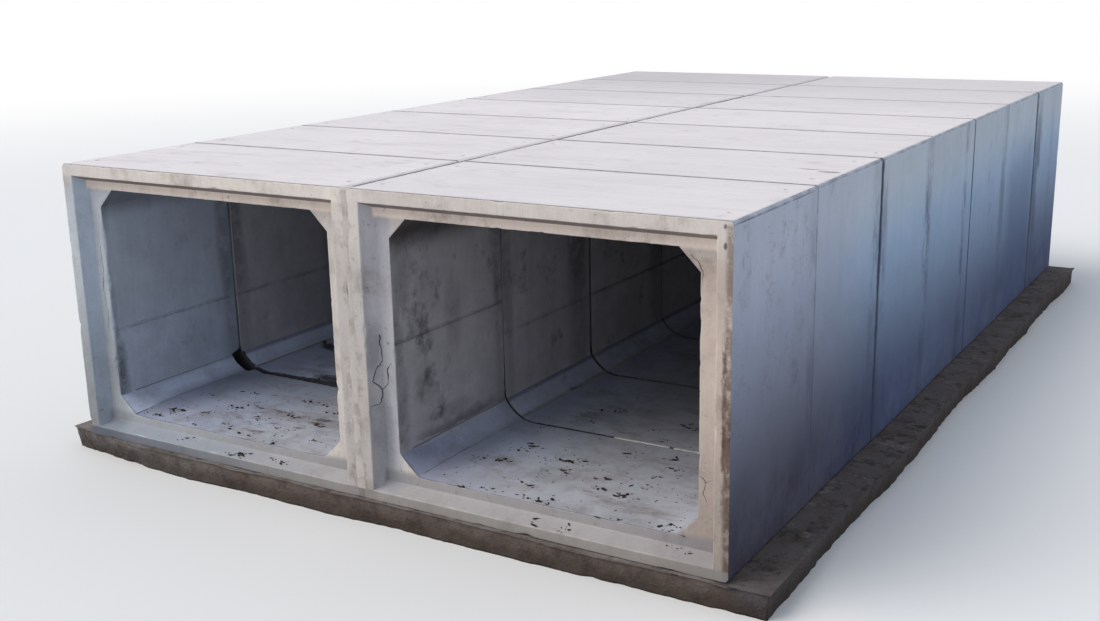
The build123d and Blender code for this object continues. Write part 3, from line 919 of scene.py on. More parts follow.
def unit_readings(f, s, shift, seed):
    """A random number for each unit, and the distance to the nearest joint, for joints that lie
    `shift` behind the rims."""
    along = (f.behind - shift) / s.pitch
    number = along.floor()
    gap = (0.5 - abs(along - number - 0.5)) * s.pitch
    return f.chance(number, f.x.ramp(-0.001, 0.001), seed), gap


def roof_finish(s, c):
    """Trowelled roof: pale, with long faint strokes along the joints, brown clouds, dirt in the
    joints and a few specks."""
    f = Finish("roof_concrete")
    own, gap = unit_readings(f, s, 0.0, 1.0)
    clouds = f.noise(0.8, 4.0, 0.6)
    blotch = f.noise(3.2, 6.0, 0.7)
    strokes = f.noise(1.0, 5.0, 0.62, (0.8, 15.0, 1.0), 0.3)
    fine = f.noise(55.0, 4.0, 0.65)
    level = swing(0.965, (own, 0.06), (clouds, 0.16), (strokes, 0.2), (fine, 0.12))
    left = f.x.ramp(1.0, -1.6)
    dust = f.noise(1.3, 6.0, 0.72, (1.0, 2.6, 1.0)).ramp(0.46, 0.74)
    patches = f.noise(1.0, 6.0, 0.75, (2.2, 5.5, 1.0)).ramp(0.56, 0.72) * blotch.ramp(0.4, 0.62)
    specks = f.pits(7.0, 0.2, 0.06).most(f.pits(19.0, 0.12, 0.11))
    scuffs = f.noise(1.0, 3.0, 0.7, (5.0, 24.0, 1.0)).ramp(0.66, 0.74) * clouds.ramp(0.5, 0.58)
    scar = f.blob(f.x, f.y, (2.93, -3.17), (0.09, 0.035))
    scar = scar.most(f.blob(f.x, f.y, (2.76, -3.09), (0.12, 0.022)))
    paint = f.coats(
        f.shade(c.roof, level - blotch.ramp(0.52, 0.8) * 0.16),
        (c.soil, dust * (0.07 + left * 0.1)),
        (c.damp, patches * 0.3),
        (c.damp, swing(gap, (blotch, 0.05)).ramp(0.06, 0.004) * 0.3),
        (c.mud, gap.ramp(0.02, 0.007) * (0.45 + strokes * 0.5)),
        (c.damp, swing(abs(f.x), (blotch, 0.06)).ramp(0.11, 0.035) * 0.1),
        (srgb(166, 164, 168), f.y.ramp(0.0, 4.5) * (0.3 + left * 0.18)),
        (c.soil, f.behind.ramp(0.05, 0.005) * blotch.ramp(0.4, 0.6) * 0.3),
        (c.mud, specks * 0.5 + scuffs * 0.4 + scar * 0.6),
    )
    height = fine * 0.3 + strokes * 0.8 + blotch * 0.35 - specks * 0.5
    return f.finish(paint, 0.86 - fine * 0.06, f.bump(height, 0.4, 0.006), sheen=0.3)


# runs of damp on the outer walls, and dirt in their joints: place along y, half width, amount
FLANK_RUNS = (
    (-3.86, 0.05, 0.35), (-2.4, 0.1, 0.45), (-2.2, 0.05, 0.5), (-0.9, 0.1, 0.7),
    (0.42, 0.05, 0.8), (2.1, 0.12, 0.45), (3.9, 0.14, 0.6), (4.7, 0.1, 0.2),
)
FLANK_JOINTS = (
    (-3.795, 0.012, 0.35), (-2.295, 0.028, 0.8), (-0.795, 0.012, 0.4), (0.705, 0.012, 0.5),
    (2.205, 0.01, 0.2), (3.72, 0.04, 0.7),
)


def flank_finish(s, c):
    """Outer walls cast against a smooth form: mottled, pitted, with runs of damp beside the joints,
    darker arrises, faces between the rows paler at the top and darker below, and damp towards the
    foot. The right-hand wall is painted in the blue-grey of shade, bluer farther back and paler
    near the top, and its much darker foot is painted shade as well as damp."""
    f = Finish("flank_concrete")
    own, _ = unit_readings(f, s, 0.0, 2.0)
    clouds = f.noise(1.0, 5.0, 0.62)
    mottle = f.noise(5.0, 6.0, 0.72)
    fine = f.noise(36.0, 5.0, 0.7)
    streaks = f.noise(1.0, 5.0, 0.65, (7.0, 7.0, 0.5), 0.2)
    level = swing(1.0, (own, 0.08), (clouds, 0.28), (mottle, 0.3), (streaks, 0.22), (fine, 0.16))
    # painted shade: the right-hand wall (x > 0, lee) is tinted the blue-grey of shade, bluer
    # farther back and paler near the top, and its foot is darkened far more than the left one's,
    # painted shade as well as damp
    lee = f.x.ramp(-0.5, 0.5)
    bluer = f.behind.ramp(1.1, 3.5) * lee
    pale = f.down.ramp(0.9, 0.1)
    blue = f.mix(srgb(190, 220, 252), srgb(212, 222, 232), pale)
    plain = f.mix(srgb(196, 195, 195), f.mix(c.flank, srgb(204, 211, 226), pale), lee)
    uneven = f.noise(1.2, 5.0, 0.7)
    foot = swing(f.z, (uneven, 0.5)).ramp(ROOF_Z - 0.16, UNDERSIDE + 0.26)
    darkening = lee * (0.54 + f.behind.ramp(4.6, 3.0) * 0.06) + 0.1 + uneven * 0.36 + streaks * 0.1
    damp_and_shade_colour = f.mix(srgb(92, 88, 88), f.mix(srgb(48, 43, 65), srgb(30, 43, 90), bluer), lee)
    paint = f.coats(
        f.shade(f.mix(plain, blue, bluer * 0.8), level),
        (c.soil, clouds.ramp(0.5, 0.7) * mottle.ramp(0.45, 0.65) * (0.14 - bluer * 0.08)),
        (damp_and_shade_colour, foot * darkening),
    )
    wavy = (f.noise(1.0, 4.0, 0.65, (3.0, 3.0, 1.4)) - 0.5) * 0.2
    broken = f.noise(1.0, 5.0, 0.72, (3.0, 3.0, 1.6)).ramp(0.38, 0.6)
    below = f.down.ramp(0.0, 0.7) * 0.6 + 0.4
    run_colour = f.mix(srgb(104, 104, 108), srgb(66, 76, 104), lee)
    for middle, half, amount in FLANK_RUNS:
        run = abs(f.y - middle + wavy).ramp(half + 0.05, half * 0.4)
        paint = f.mix(paint, run_colour, run * broken * below * amount)
    low_sixth = (f.y + wavy * 1.6).ramp(2.0, 2.7) * f.y.ramp(4.0, 3.4) * f.down.ramp(0.2, 1.1)
    patches = f.noise(1.0, 5.0, 0.7, (2.4, 2.4, 0.9)).ramp(0.55, 0.7) * mottle.ramp(0.42, 0.6)
    paint = f.coats(paint, (srgb(56, 76, 120), low_sixth * lee * 0.42), (c.damp, patches * 0.34))
    dirt = (0.35 + broken * 0.65) * (0.4 + lee * 0.6)
    for middle, half, amount in FLANK_JOINTS:
        worn = (abs(f.y - middle) + wavy * 0.08).ramp(half + 0.006, half - 0.003)
        paint = f.mix(paint, srgb(56, 62, 82), worn * amount * dirt)
    front = f.behind.ramp(1.5, 1.2)
    patina = mottle.ramp(0.46, 0.62) * fine.ramp(0.46, 0.58)
    between = abs(f.x).ramp(0.06, 0.045)
    arris = f.upward.ramp(0.3, 0.55) * (0.3 + mottle.ramp(0.4, 0.6) * 0.35) * (1 - between)
    under = abs(f.down - (s.arris + 0.006)).ramp(0.009, 0.003) * front * mottle.ramp(0.36, 0.5)
    joint = f.mix(srgb(100, 94, 90), srgb(240, 231, 229), f.down.ramp(0.013, 0.007))
    splash = f.up.ramp(0.22, 0.0) * f.noise(6.0, 5.0, 0.7).ramp(0.4, 0.62)
    holes = f.pits(13.0, 0.2, 0.06).most(f.pits(30.0, 0.22, 0.11))
    paint = f.coats(
        paint,
        (srgb(84, 88, 104), patina * (0.08 + front * 0.2)),
        (srgb(112, 110, 116), arris),
        (srgb(80, 84, 98), under * 0.6),
        (joint, between * 0.95),
        (c.mud, splash * 0.36),
        (c.mud, holes * 0.5),
    )
    height = fine * 0.35 + mottle * 0.4 - holes
    return f.finish(paint, 0.82 - mottle * 0.1, f.bump(height, 0.35, 0.004), sheen=0.35)


# rust spots on the right-hand rim: x, z, and their reach across and up
RUST_SPOTS = ((3.02, 2.585, 0.014, 0.02), (3.02, 2.46, 0.013, 0.024), (3.03, 1.2, 0.016, 0.09))
RUST_RUN_X = 3.026


def rim_finish(s, c):
    """Rims, sockets and shoulders: grey, painted cooler on the left as in shade and warmer on the
    right as in sunlight, with brown clouds, runs down the uprights, pits and a broken rust run on
    the right-hand rim. Painted shade on the socket walls that face right, the left shoulder of the
    right cell and the faces under the socket roofs; painted shade with dirt on the foot's front
    lip, down the right outer edge and on the faces inside the joints; a painted highlight on the
    shoulders under the top rims and on the right-hand socket wall."""
    f = Finish("rim_concrete")
    clouds = f.noise(1.9, 5.0, 0.65)
    mottle = f.noise(9.0, 6.0, 0.74)
    fine = f.noise(48.0, 4.0, 0.65)
    runs = f.noise(1.0, 5.0, 0.65, (17.0, 17.0, 1.0), 0.25)

    # where on the front a point lies
    # painted light: the right-hand part and the top rim are painted warmer as in sunlight, the
    # left-hand part cooler as in shade
    warm_lit_side = (swing(f.x, (clouds, 1.2)) + f.z.ramp(2.35, 2.5) * 2.4).ramp(-2.6, 0.2)
    back = f.behind.ramp(0.1, 0.12) * f.behind.ramp(0.2, 0.15)
    # over: the shoulder just under the top rim gets a painted highlight, lighter and warmer, where
    # the rim shades it
    over = f.z.ramp(2.38, 2.42) * back
    # beside (the right cell's left shoulder) and socket (the socket walls that face right) are
    # painted cool as in shade
    beside = f.x.ramp(0.36, 0.28) * f.x.ramp(0.12, 0.15) * f.behind.ramp(0.004, 0.02)
    socket = f.rightward.ramp(0.3, 0.8)
    lit = f.rightward.ramp(-0.3, -0.8) * f.x.ramp(2.5, 2.7)
    upper = f.z.ramp(0.6, 1.95)
    far_left = f.x.ramp(-2.6, -2.8) * (1 - socket)
    far_right = f.x.ramp(2.5, 2.8)
    ledge = f.upward.ramp(0.5, 0.9)
    inner = f.behind.ramp(0.2, 0.3) * f.behind.ramp(10.4, 10.3)
    right = f.x.ramp(-0.1, 0.1)

    level = swing(0.98, (clouds, 0.24), (mottle, 0.34), (runs, 0.24), (fine, 0.18))
    level = level + over * 0.34 + lit * 0.3
    level = level + f.z.ramp(2.5, 2.53) * (0.05 + f.x.ramp(0.1, -0.1) * 0.13)
    level = level - far_left * (0.05 + (1 - upper) * (0.4 - back * 0.14))
    level = level + far_right * (f.z.ramp(0.3, 1.7) * 0.42 - 0.26 - f.z.ramp(1.8, 2.3) * 0.1)
    level = level + abs(f.x).ramp(0.2, 0.15) * upper * 0.1
    # cool colours of that painted shade, paler higher up
    near = f.mix(srgb(196, 195, 202), srgb(214, 213, 220), upper)
    cool = f.mix(srgb(171, 183, 198), srgb(208, 222, 240), upper)
    cool = f.coats(cool, (near, f.x.ramp(-1.0, 0.0)), (srgb(188, 187, 194), beside * (1 - socket)))
    paint = f.coats(
        f.mix(srgb(204, 209, 215), c.rim, warm_lit_side),
        (srgb(188, 172, 162), f.x.ramp(2.0, 2.95) * f.z.ramp(2.5, 2.25) * 0.85),
        (cool, socket.most(beside) * f.behind.ramp(0.3, 0.2) * 0.85),
        (srgb(176, 171, 172), abs(f.x).ramp(0.2, 0.1) * f.z.ramp(2.45, 1.9) * 0.5),
        (srgb(238, 220, 206), over * 0.85),
    )

    brown = f.noise(2.8, 6.0, 0.74, (1.0, 1.0, 0.8)).ramp(0.48, 0.72)
    spots = f.noise(17.0, 4.0, 0.7).ramp(0.62, 0.7) * clouds.ramp(0.44, 0.58)
    darkening = f.blob(f.x, f.z, (0.15, 1.4), (0.03, 0.2), 1.2)
    darkening = darkening.most(f.blob(f.x, f.z, (0.2, 0.7), (0.06, 0.3), 1.2))
    edge = f.noise(14.0, 5.0, 0.75)
    upright = swing(f.x - RUST_RUN_X, (f.noise(3.0, 4.0, 0.65), 0.05))
    rust = swing(abs(upright), (edge, 0.03)).ramp(0.026, 0.004) * f.z.ramp(0.3, 1.05)
    rust = rust * f.z.ramp(2.0, 1.8) * f.noise(1.0, 6.0, 0.78, (7.0, 7.0, 3.0)).ramp(0.42, 0.54)
    paint = f.coats(
        f.shade(paint, level),
        (c.soil, brown * (0.16 + warm_lit_side * 0.24)),
        (c.damp, runs.ramp(0.54, 0.76) * clouds.ramp(0.42, 0.6) * 0.4),
        (c.soil, abs(f.x).ramp(0.16, 0.05) * mottle.ramp(0.46, 0.66) * 0.4),
        (c.damp, darkening * 0.4),
        (srgb(96, 80, 68), spots * 0.5),
        (srgb(92, 68, 54), rust * 0.85),
    )
    for x, z, wide, high in RUST_SPOTS:
        paint = f.mix(paint, srgb(92, 66, 52), f.blob(f.x, f.z, (x, z), (wide, high)) * 0.85)

    # corner: darker brown down the right outer edge, painted shade with soil
    corner = f.noise(8.0, 5.0, 0.72).ramp(0.38, 0.58) * 0.65 + f.z.ramp(1.9, 1.3) * 0.3
    foot = f.up.ramp(0.3, 0.02) * f.noise(3.4, 6.0, 0.74).ramp(0.4, 0.68)
    sill = f.up.ramp(0.25, 0.19) * f.behind.ramp(0.08, 0.12) * (1 - ledge)
    # lip: painted shadow with dirt along the front of the foot, cooler on the left
    lip = f.up.ramp(0.086, 0.07) * f.behind.ramp(0.012, 0.004)
    # faces inside the joints: painted shade with dirt, bluish at the right outer corner
    darker_by = 0.24 + right * 0.66 + f.z.ramp(0.66, 0.58) * 0.7 + f.z.ramp(1.6, 2.2) * 0.4
    darker_by = darker_by - right * f.behind.ramp(2.0, 1.8) * f.z.ramp(0.7, 1.0) * 0.4
    holes = f.pits(11.0, 0.26, 0.07).most(f.pits(26.0, 0.28, 0.12))
    paint = f.coats(
        paint,
        (srgb(102, 84, 74), f.x.ramp(3.01, 3.05) * corner),
        (c.soil, foot * (0.14 + warm_lit_side * 0.2)),
        (srgb(136, 135, 140), sill * (0.56 + warm_lit_side * 0.14)),
        (f.mix(srgb(124, 132, 146), srgb(146, 145, 150), warm_lit_side), ledge * 0.7),
        (f.mix(srgb(84, 89, 102), srgb(140, 136, 134), warm_lit_side), lip * (0.64 + clouds * 0.3)),
        # painted shade on the faces that look down, under the socket roofs
        (srgb(122, 108, 102), f.upward.ramp(-0.35, -0.8) * 0.75),
        (f.mix(srgb(46, 44, 46), srgb(92, 102, 128), f.x.ramp(2.98, 3.04)), inner * darker_by),
        (c.mud, holes * 0.55),
    )
    height = fine * 0.35 + mottle * 0.7 - holes
    return f.finish(paint, 0.85 - mottle * 0.08, f.bump(height, 0.45, 0.005), sheen=0.3)


# damp in the cells, row 0 or 1: runs beside the joints (y, half width, amount) and stains on the
# walls (y, z, their reach along and up, amount); dark stains on the floors (x, y, their reach)
CELL_RUNS = (
    (0, -3.76, 0.055, 0.6), (0, -3.6, 0.06, 0.5), (1, -3.74, 0.05, 0.5), (1, -2.4, 0.16, 0.55),
    (1, -3.6, 0.03, 0.4), (0, -2.25, 0.1, 0.4), (1, -0.8, 0.14, 0.5),
)
CELL_STAINS = (
    (0, -5.14, 1.35, 0.035, 0.36, 0.4), (0, -5.12, 0.72, 0.07, 0.32, 0.8),
    (0, -5.14, 2.2, 0.04, 0.2, 0.35), (1, -5.05, 1.98, 0.12, 0.18, 0.4),
    (1, -5.13, 1.44, 0.07, 0.24, 0.5), (1, -5.06, 1.76, 0.1, 0.1, 0.3),
    (1, -4.8, 1.02, 0.12, 0.15, 0.5), (1, -4.78, 2.27, 0.45, 0.09, 0.5),
    (1, -5.1, 0.9, 0.08, 0.3, 0.5), (1, -4.4, 1.5, 0.1, 0.3, 0.35),
    (1, -4.55, 0.72, 0.3, 0.06, 0.4),
)
FLOOR_STAINS = ((-1.72, -3.52, 0.26, 0.1), (-1.1, -3.56, 0.4, 0.06), (-2.5, -2.7, 0.12, 0.08))
# the broken joint of the left cell: its front edge, and its rear edge, which slopes
SEAM_Y, SEAM_REAR_Y, SEAM_X = -3.665, -3.64, -2.7


class CellReadings:
    """What the walls and the floors of the cells share: patterns, and where a point lies."""

    def __init__(self, f, s):
        self.own, self.gap = unit_readings(f, s, s.socket_depth - s.inner_gap / 2, 3.0)
        self.clouds = f.noise(1.4, 5.0, 0.64)
        self.mottle = f.noise(5.5, 6.0, 0.74)
        self.fine = f.noise(42.0, 4.0, 0.66)
        self.drips = f.noise(1.0, 5.0, 0.66, (5.5, 5.5, 0.8), 0.35)
        self.right = f.x.ramp(0.0, 0.01)
        self.left = 1 - self.right
        self.second = f.behind.ramp(1.6, 1.64)
        self.first = 1 - self.second
        self.bloom = f.noise(2.0, 6.0, 0.76).ramp(0.52, 0.68) * self.mottle.ramp(0.38, 0.58)


def cell_walls(f, c, r):
    """Colour of the walls and soffits: mottled, with dark blooms, damp beside the joints, under
    the form lines and over the haunches; painted shade with soot on the soffits and the tops of the
    walls, and the cool tint of shade on the left cell's first unit."""
    # the left cell's first unit takes the cool cell colour, painted as in shade; the rest stays
    # neutral
    tint = f.mix(c.cell, srgb(199, 195, 197), r.right.most(r.second) * 0.85)
    level = swing(
        0.99, (r.own, 0.12), (r.clouds, 0.46), (r.mottle, 0.5), (r.drips, 0.34), (r.fine, 0.18)
    )
    walls = f.mix(f.shade(tint, level), srgb(64, 66, 74), r.bloom * (0.3 + r.right * 0.36))
    wavy, blotched = (r.drips - 0.5) * 0.14 * 1.4, r.mottle.ramp(0.3, 0.56)
    below = f.z.ramp(0.9, 1.5) * 0.5 + 0.5
    for row, middle, half, amount in CELL_RUNS:
        run = abs(f.y - middle + wavy).ramp(half + 0.08, half * 0.3) * blotched * below
        walls = f.mix(walls, srgb(44, 46, 54), run * (r.left, r.right)[row] * amount)
    broken = 0.45 + r.mottle.ramp(0.34, 0.56) * 0.6
    for row, y, z, wide, high, amount in CELL_STAINS:
        stain = f.blob(f.y, f.z, (y, z), (wide, high), 1.5) * (r.left, r.right)[row]
        walls = f.mix(walls, srgb(46, 48, 56), stain * broken * amount)
    # high: the tops of the walls under the soffit, painted shade with soot, browned
    high = swing(f.z, (r.mottle, 0.16)).ramp(2.1 - r.right * 0.06, 2.27)
    pale = f.z.ramp(1.2, 1.6) * f.z.ramp(2.25, 2.1) * r.first * r.left
    upright = 1 - f.upward.ramp(0.05, 0.3)
    line = swing(UNDERSIDE + 0.966 + r.right * r.first * 0.284 - f.z, (r.drips, 0.03))
    under = line.ramp(-0.006, 0.004) * line.ramp(0.045, 0.006) * upright
    under = under * f.noise(2.4, 4.0, 0.7).ramp(0.3, 0.56)
    haunch = swing(f.z - 0.59, (r.mottle, 0.12))
    tide = haunch.ramp(-0.03, 0.0) * haunch.ramp(0.1, 0.0) * r.clouds.ramp(0.36, 0.56)
    return f.coats(
        walls,
        # painted shade with soot on the soffits, which face down
        (srgb(60, 58, 58), f.upward.ramp(-0.3, -0.8) * 0.35),
        (srgb(50, 43, 38), high * (0.42 + r.right * r.first * 0.36)),
        (srgb(224, 230, 240), pale * 0.2),
        (srgb(42, 42, 48), under * (0.6 + r.second * r.left * 0.3)),
        (srgb(56, 56, 66), tide * r.right * r.first * 0.6),
    )


def cell_floors(f, c, r):
    """Colour of the floors and the lower haunches: paler than the walls, with dried mud, damp in
    the joints, and the dark gap of the broken one. The floor beside the left haunches and the
    haunches that face +X are painted in the blue of shade."""
    dirt = f.noise(2.6, 6.0, 0.72, (1.0, 0.8, 1.0)).ramp(0.46, 0.68)
    # beside: the floor along the left haunch of each cell, painted bluer as in shade
    ragged = swing(f.x, (r.clouds, 0.2))
    beside = (ragged.ramp(0.85, 0.45) * r.right).most(ragged.ramp(-2.2, -2.6))
    # lit: near the right cell's left haunch the floor is painted blue-grey, darker at the mouth and
    # paler deeper in: painted shade
    lit = f.mix(srgb(158, 160, 178), srgb(200, 210, 236), f.behind.ramp(0.3, 1.0))
    floors = f.coats(
        f.mix(srgb(174, 182, 202), c.floor, f.x.ramp(-1.9, -1.0)),
        (lit, f.x.ramp(1.5, 0.5) * r.right * 0.8),
        (srgb(118, 112, 118), dirt * 0.4),
        (srgb(146, 153, 176), beside * 0.55),
    )
    level = 1.0 + r.second * r.left * 0.5
    floors = f.shade(floors, swing(level, (r.clouds, 0.3), (r.mottle, 0.34), (r.fine, 0.2)))

    # the haunches that face +X (leeward) are painted in the blue of shade, a little paler in the
    # left cell
    leeward = f.rightward.ramp(0.0, 0.4)
    turned = f.mix(srgb(166, 172, 198), srgb(202, 209, 232), f.y.ramp(-4.9, -4.3))
    turned = f.mix(srgb(214, 226, 248), turned, r.right)
    level = swing(1.0, (r.clouds, 0.5), (r.mottle, 0.7), (r.drips, 0.4), (r.fine, 0.2))
    level = level + r.left * leeward * (r.first * 0.14 + r.second * 0.1)
    haunches = f.shade(f.mix(srgb(176, 178, 184), turned, leeward), level)
    darker_by = r.bloom * (0.3 + r.right * 0.3) + dirt * 0.25
    haunches = f.mix(haunches, srgb(84, 86, 100), darker_by)
    flat = f.upward.ramp(0.8, 0.96)
    floors = f.mix(floors, haunches, (1 - flat) * 0.85)

    flat = flat * (1 - beside * 0.8)
    trail = f.noise(1.0, 7.0, 0.76, (1.9, 4.6, 1.0), 0.5)
    thick = 0.2 + f.noise(0.9, 3.0, 0.6) * 0.45
    muddy = trail + f.blob(f.x, f.y, (-1.45, -4.55), (0.75, 0.5)) * r.left * 0.08
    floors = f.coats(
        floors,
        (srgb(128, 112, 102), trail.ramp(0.47, 0.66) * thick * flat),
        (c.mud, muddy.ramp(0.6, 0.7) * r.mottle.ramp(0.44, 0.6) * 0.75 * flat),
    )
    for x, y, wide, deep in FLOOR_STAINS:
        floors = f.mix(floors, srgb(38, 34, 32), f.blob(f.x, f.y, (x, y), (wide, deep)) * 0.85)
    rear = swing(f.y - SEAM_REAR_Y - (f.x - SEAM_X) * 0.045, (r.mottle, 0.09))
    seam = (f.y - SEAM_Y).ramp(-0.006, 0.0) * rear.ramp(0.02, 0.0)
    return f.coats(
        floors,
        (srgb(60, 52, 46), swing(r.gap, (r.mottle, 0.03)).ramp(0.03, 0.01) * 0.6),
        (srgb(32, 30, 30), seam * r.left * 0.9),
    )


def cell_finish(s, c):
    """Cells: walls and floors, darker and browner the deeper they lie: painted shade of the tunnel,
    with mud.
    """
    f = Finish("cell_concrete")
    r = CellReadings(f, s)
    holes = f.pits(15.0, 0.16, 0.06).most(f.pits(31.0, 0.16, 0.1))
    paint = f.coats(
        cell_walls(f, c, r),
        (cell_floors(f, c, r), f.upward.ramp(0.4, 0.66)),
        # painted shade of the tunnel with mud: darker and browner deeper in
        (c.mud, f.behind.ramp(0.9, 5.5) * 0.34),
        (c.mud, holes * 0.5),
    )
    height = r.fine * 0.35 + r.mottle * 0.6 - holes
    return f.finish(paint, 0.84 - r.mottle * 0.1, f.bump(height, 0.4, 0.005), sheen=0.3)


def bed_finish(s, c):
    """Bed: rough brown-grey concrete with stones in its broken sides and mud on its top, and
    painted shade with mud along the right-hand side.
    """
    f = Finish("bed_concrete")
    clouds = f.noise(1.8, 5.0, 0.65)
    mottle = f.noise(11.0, 6.0, 0.74)
    fine = f.noise(60.0, 4.0, 0.68)
    stones = f.cells(30.0, "Distance")
    side = 1 - f.upward.ramp(0.35, 0.8)
    level_top = f.upward.ramp(0.6, 0.9)
    level = swing(0.96, (clouds, 0.34), (mottle, 0.44), (fine, 0.26))
    clods = f.noise(7.0, 8.0, 0.82).ramp(0.5, 0.6) * clouds.ramp(0.38, 0.54)
    dust = f.noise(6.0, 7.0, 0.75).ramp(0.56, 0.68)
    split = abs(swing(f.z - 0.19 + (f.x + 3.36) * 0.75, (mottle, 0.03))).ramp(0.011, 0.004)
    split = split * f.x.ramp(-3.08, -3.12) * f.y.ramp(-5.1, -5.15)
    paint = f.coats(
        f.shade(c.bed, level + stones.ramp(0.3, 0.12) * side * 0.18),
        # painted shade with mud along the right-hand side of the culvert
        (srgb(56, 52, 58), f.x.ramp(2.9, 3.1) * 0.62),
        (srgb(104, 80, 64), side * f.x.ramp(-2.2, -1.0) * f.x.ramp(3.2, 3.0) * 0.45),
        (c.mud, f.noise(4.0, 8.0, 0.78).ramp(0.42, 0.66) * 0.7),
        (srgb(24, 20, 19), clods * level_top * 0.85),
        (srgb(138, 130, 128), dust * level_top * 0.5),
        (srgb(24, 20, 18), split * side * 0.9),
        (srgb(48, 38, 32), f.z.ramp(UNDERSIDE - 0.02, 0.04) * side * 0.6),
    )
    height = mottle * 0.7 + fine * 0.3 + stones.ramp(0.45, 0.1) * side * 0.5
    return f.finish(paint, 0.92 - mottle * 0.06, f.bump(height, 0.6, 0.012), sheen=0.25)


def mortar_finish(s, c):
    """Mortar and grout: pale sand with dark grains; like the rims on the front of the post, with a
    painted shadow and dirt along its foot; dark in the sunk joint of the roof, painted shade with
    dirt, and in the floor joints behind the first, painted shade of the tunnel with mud."""
    f = Finish("joint_mortar_finish")
    clouds = f.noise(6.0, 5.0, 0.68)
    grains = f.noise(130.0, 3.0, 0.7)
    mottle = f.noise(9.0, 6.0, 0.74)
    inside = f.behind.ramp(0.5, 0.6) * f.z.ramp(0.6, 0.5)
    sunk = f.up.ramp(2.2, 2.3) * f.behind.ramp(0.12, 0.24)
    lip = f.up.ramp(0.086, 0.07) * f.behind.ramp(0.012, 0.004)
    paint = f.coats(
        f.shade(c.mortar, swing(0.97, (clouds, 0.3), (grains, 0.3), (mottle, 0.3))),
        (srgb(236, 234, 230), inside * 0.9),
        (c.soil, clouds.ramp(0.46, 0.66) * (0.4 - inside * 0.3)),
        # painted shade of the tunnel with mud in the floor joints behind the first; the grout sunk
        # in the roof joint painted shade with dirt; the foot's lip a painted shadow with dirt
        (c.mud, inside * f.behind.ramp(1.9, 2.4) * 0.88),
        (srgb(92, 86, 82), sunk * 0.85),
        (srgb(104, 98, 94), lip * 0.75),
    )
    bump = f.bump(grains * 0.5 + clouds, 0.5, 0.003)
    return f.finish(paint, 0.93 - grains * 0.05, bump, sheen=0.25)


def seal_finish(s, c):
    """Sealing strip: dark, dull, with dust on its creases."""
    f = Finish("seal_strip")
    dust = f.noise(14.0, 5.0, 0.7)
    paint = f.mix(c.seal, c.soil, dust.ramp(0.5, 0.75) * 0.45)
    return f.finish(paint, 0.6 + dust * 0.3, f.bump(dust, 0.5, 0.003))


def rust_finish(s, c):
    """Lifting pins: rusted steel, worn bright on the head."""
    f = Finish("rusted_pin")
    scale = f.noise(120.0, 5.0, 0.7)
    paint = f.mix(c.rust, srgb(70, 60, 55), scale.ramp(0.42, 0.62))
    paint = f.mix(paint, srgb(150, 96, 60), scale.ramp(0.62, 0.75))
    bright = scale.ramp(0.6, 0.4) * 0.6
    return f.finish(paint, 0.62 + scale * 0.3, f.bump(scale, 0.6, 0.001), bright)


def litter_finish(s, c):
    """Crumbs: dried mud and dead leaf, from black-brown to tan."""
    f = Finish("dry_crumbs")
    blend = f.noise(23.0, 2.0, 0.6)
    grain = f.noise(300.0, 3.0, 0.7)
    paint = f.shade(f.mix(c.litter, c.soil, blend.ramp(0.5, 0.72) * 0.55), 0.75 + grain * 0.5)
    return f.finish(paint, 0.8 + grain * 0.15, f.bump(grain, 0.5, 0.001), sheen=0.3)


def crack_finish(s, c):
    """Shadow and damp inside a hairline crack."""
    f = Finish("crack_shadow")
    grain = f.noise(90.0, 3.0, 0.6)
    paint = f.mix(srgb(96, 96, 106), srgb(64, 60, 62), grain.ramp(0.35, 0.65))
    return f.finish(paint, 0.9 - grain * 0.1, f.bump(grain, 0.3, 0.001), sheen=0.2)


FINISHES = {
    "roof": roof_finish,
    "flank": flank_finish,
    "rim": rim_finish,
    "cell": cell_finish,
    "bed": bed_finish,
    "mortar": mortar_finish,
    "seal": seal_finish,
    "rust": rust_finish,
    "litter": litter_finish,
    "crack": crack_finish,
}
made_finishes = {}


def finish_of(scene, name):
    """The finish of that name, made once from the scene's colours."""
    if name not in made_finishes:
        made_finishes[name] = FINISHES[name](scene.culvert_sizes, scene.culvert_finish)
    return made_finishes[name]


# Stage: plain pale floor, soft light and the photograph's viewpoint

FLOOR_REACH = 90.0
# sky colour and strength; name, strength, spread in degrees, colour and direction of each light
SKY_COLOUR, SKY_STRENGTH = (0.87, 0.97, 1.13), 0.43
LIGHTS = (
    ("key_light", 2.05, 45.0, (1.0, 0.96, 0.9), (0.46, 0.48, -0.75)),
    ("front_light", 0.5, 80.0, (1.0, 0.98, 0.95), (0.3, 0.92, -0.25)),
    ("rear_light", 0.3, 70.0, (0.92, 0.97, 1.05), (-0.6, -0.45, -0.66)),
)
LIGHT_DISTANCE = 20
# turned from +Y to the left, tilted down and slightly rolled; focal length in photograph pixels
CAMERA_PLACE = (6.19569, -12.59727, 4.13257)
YAW, PITCH, ROLL = 0.54701, -0.25506, -0.01987
FOCAL_PIXELS, PHOTO_PIXELS, SENSOR = 1307.99288, 1100.0, 36.0


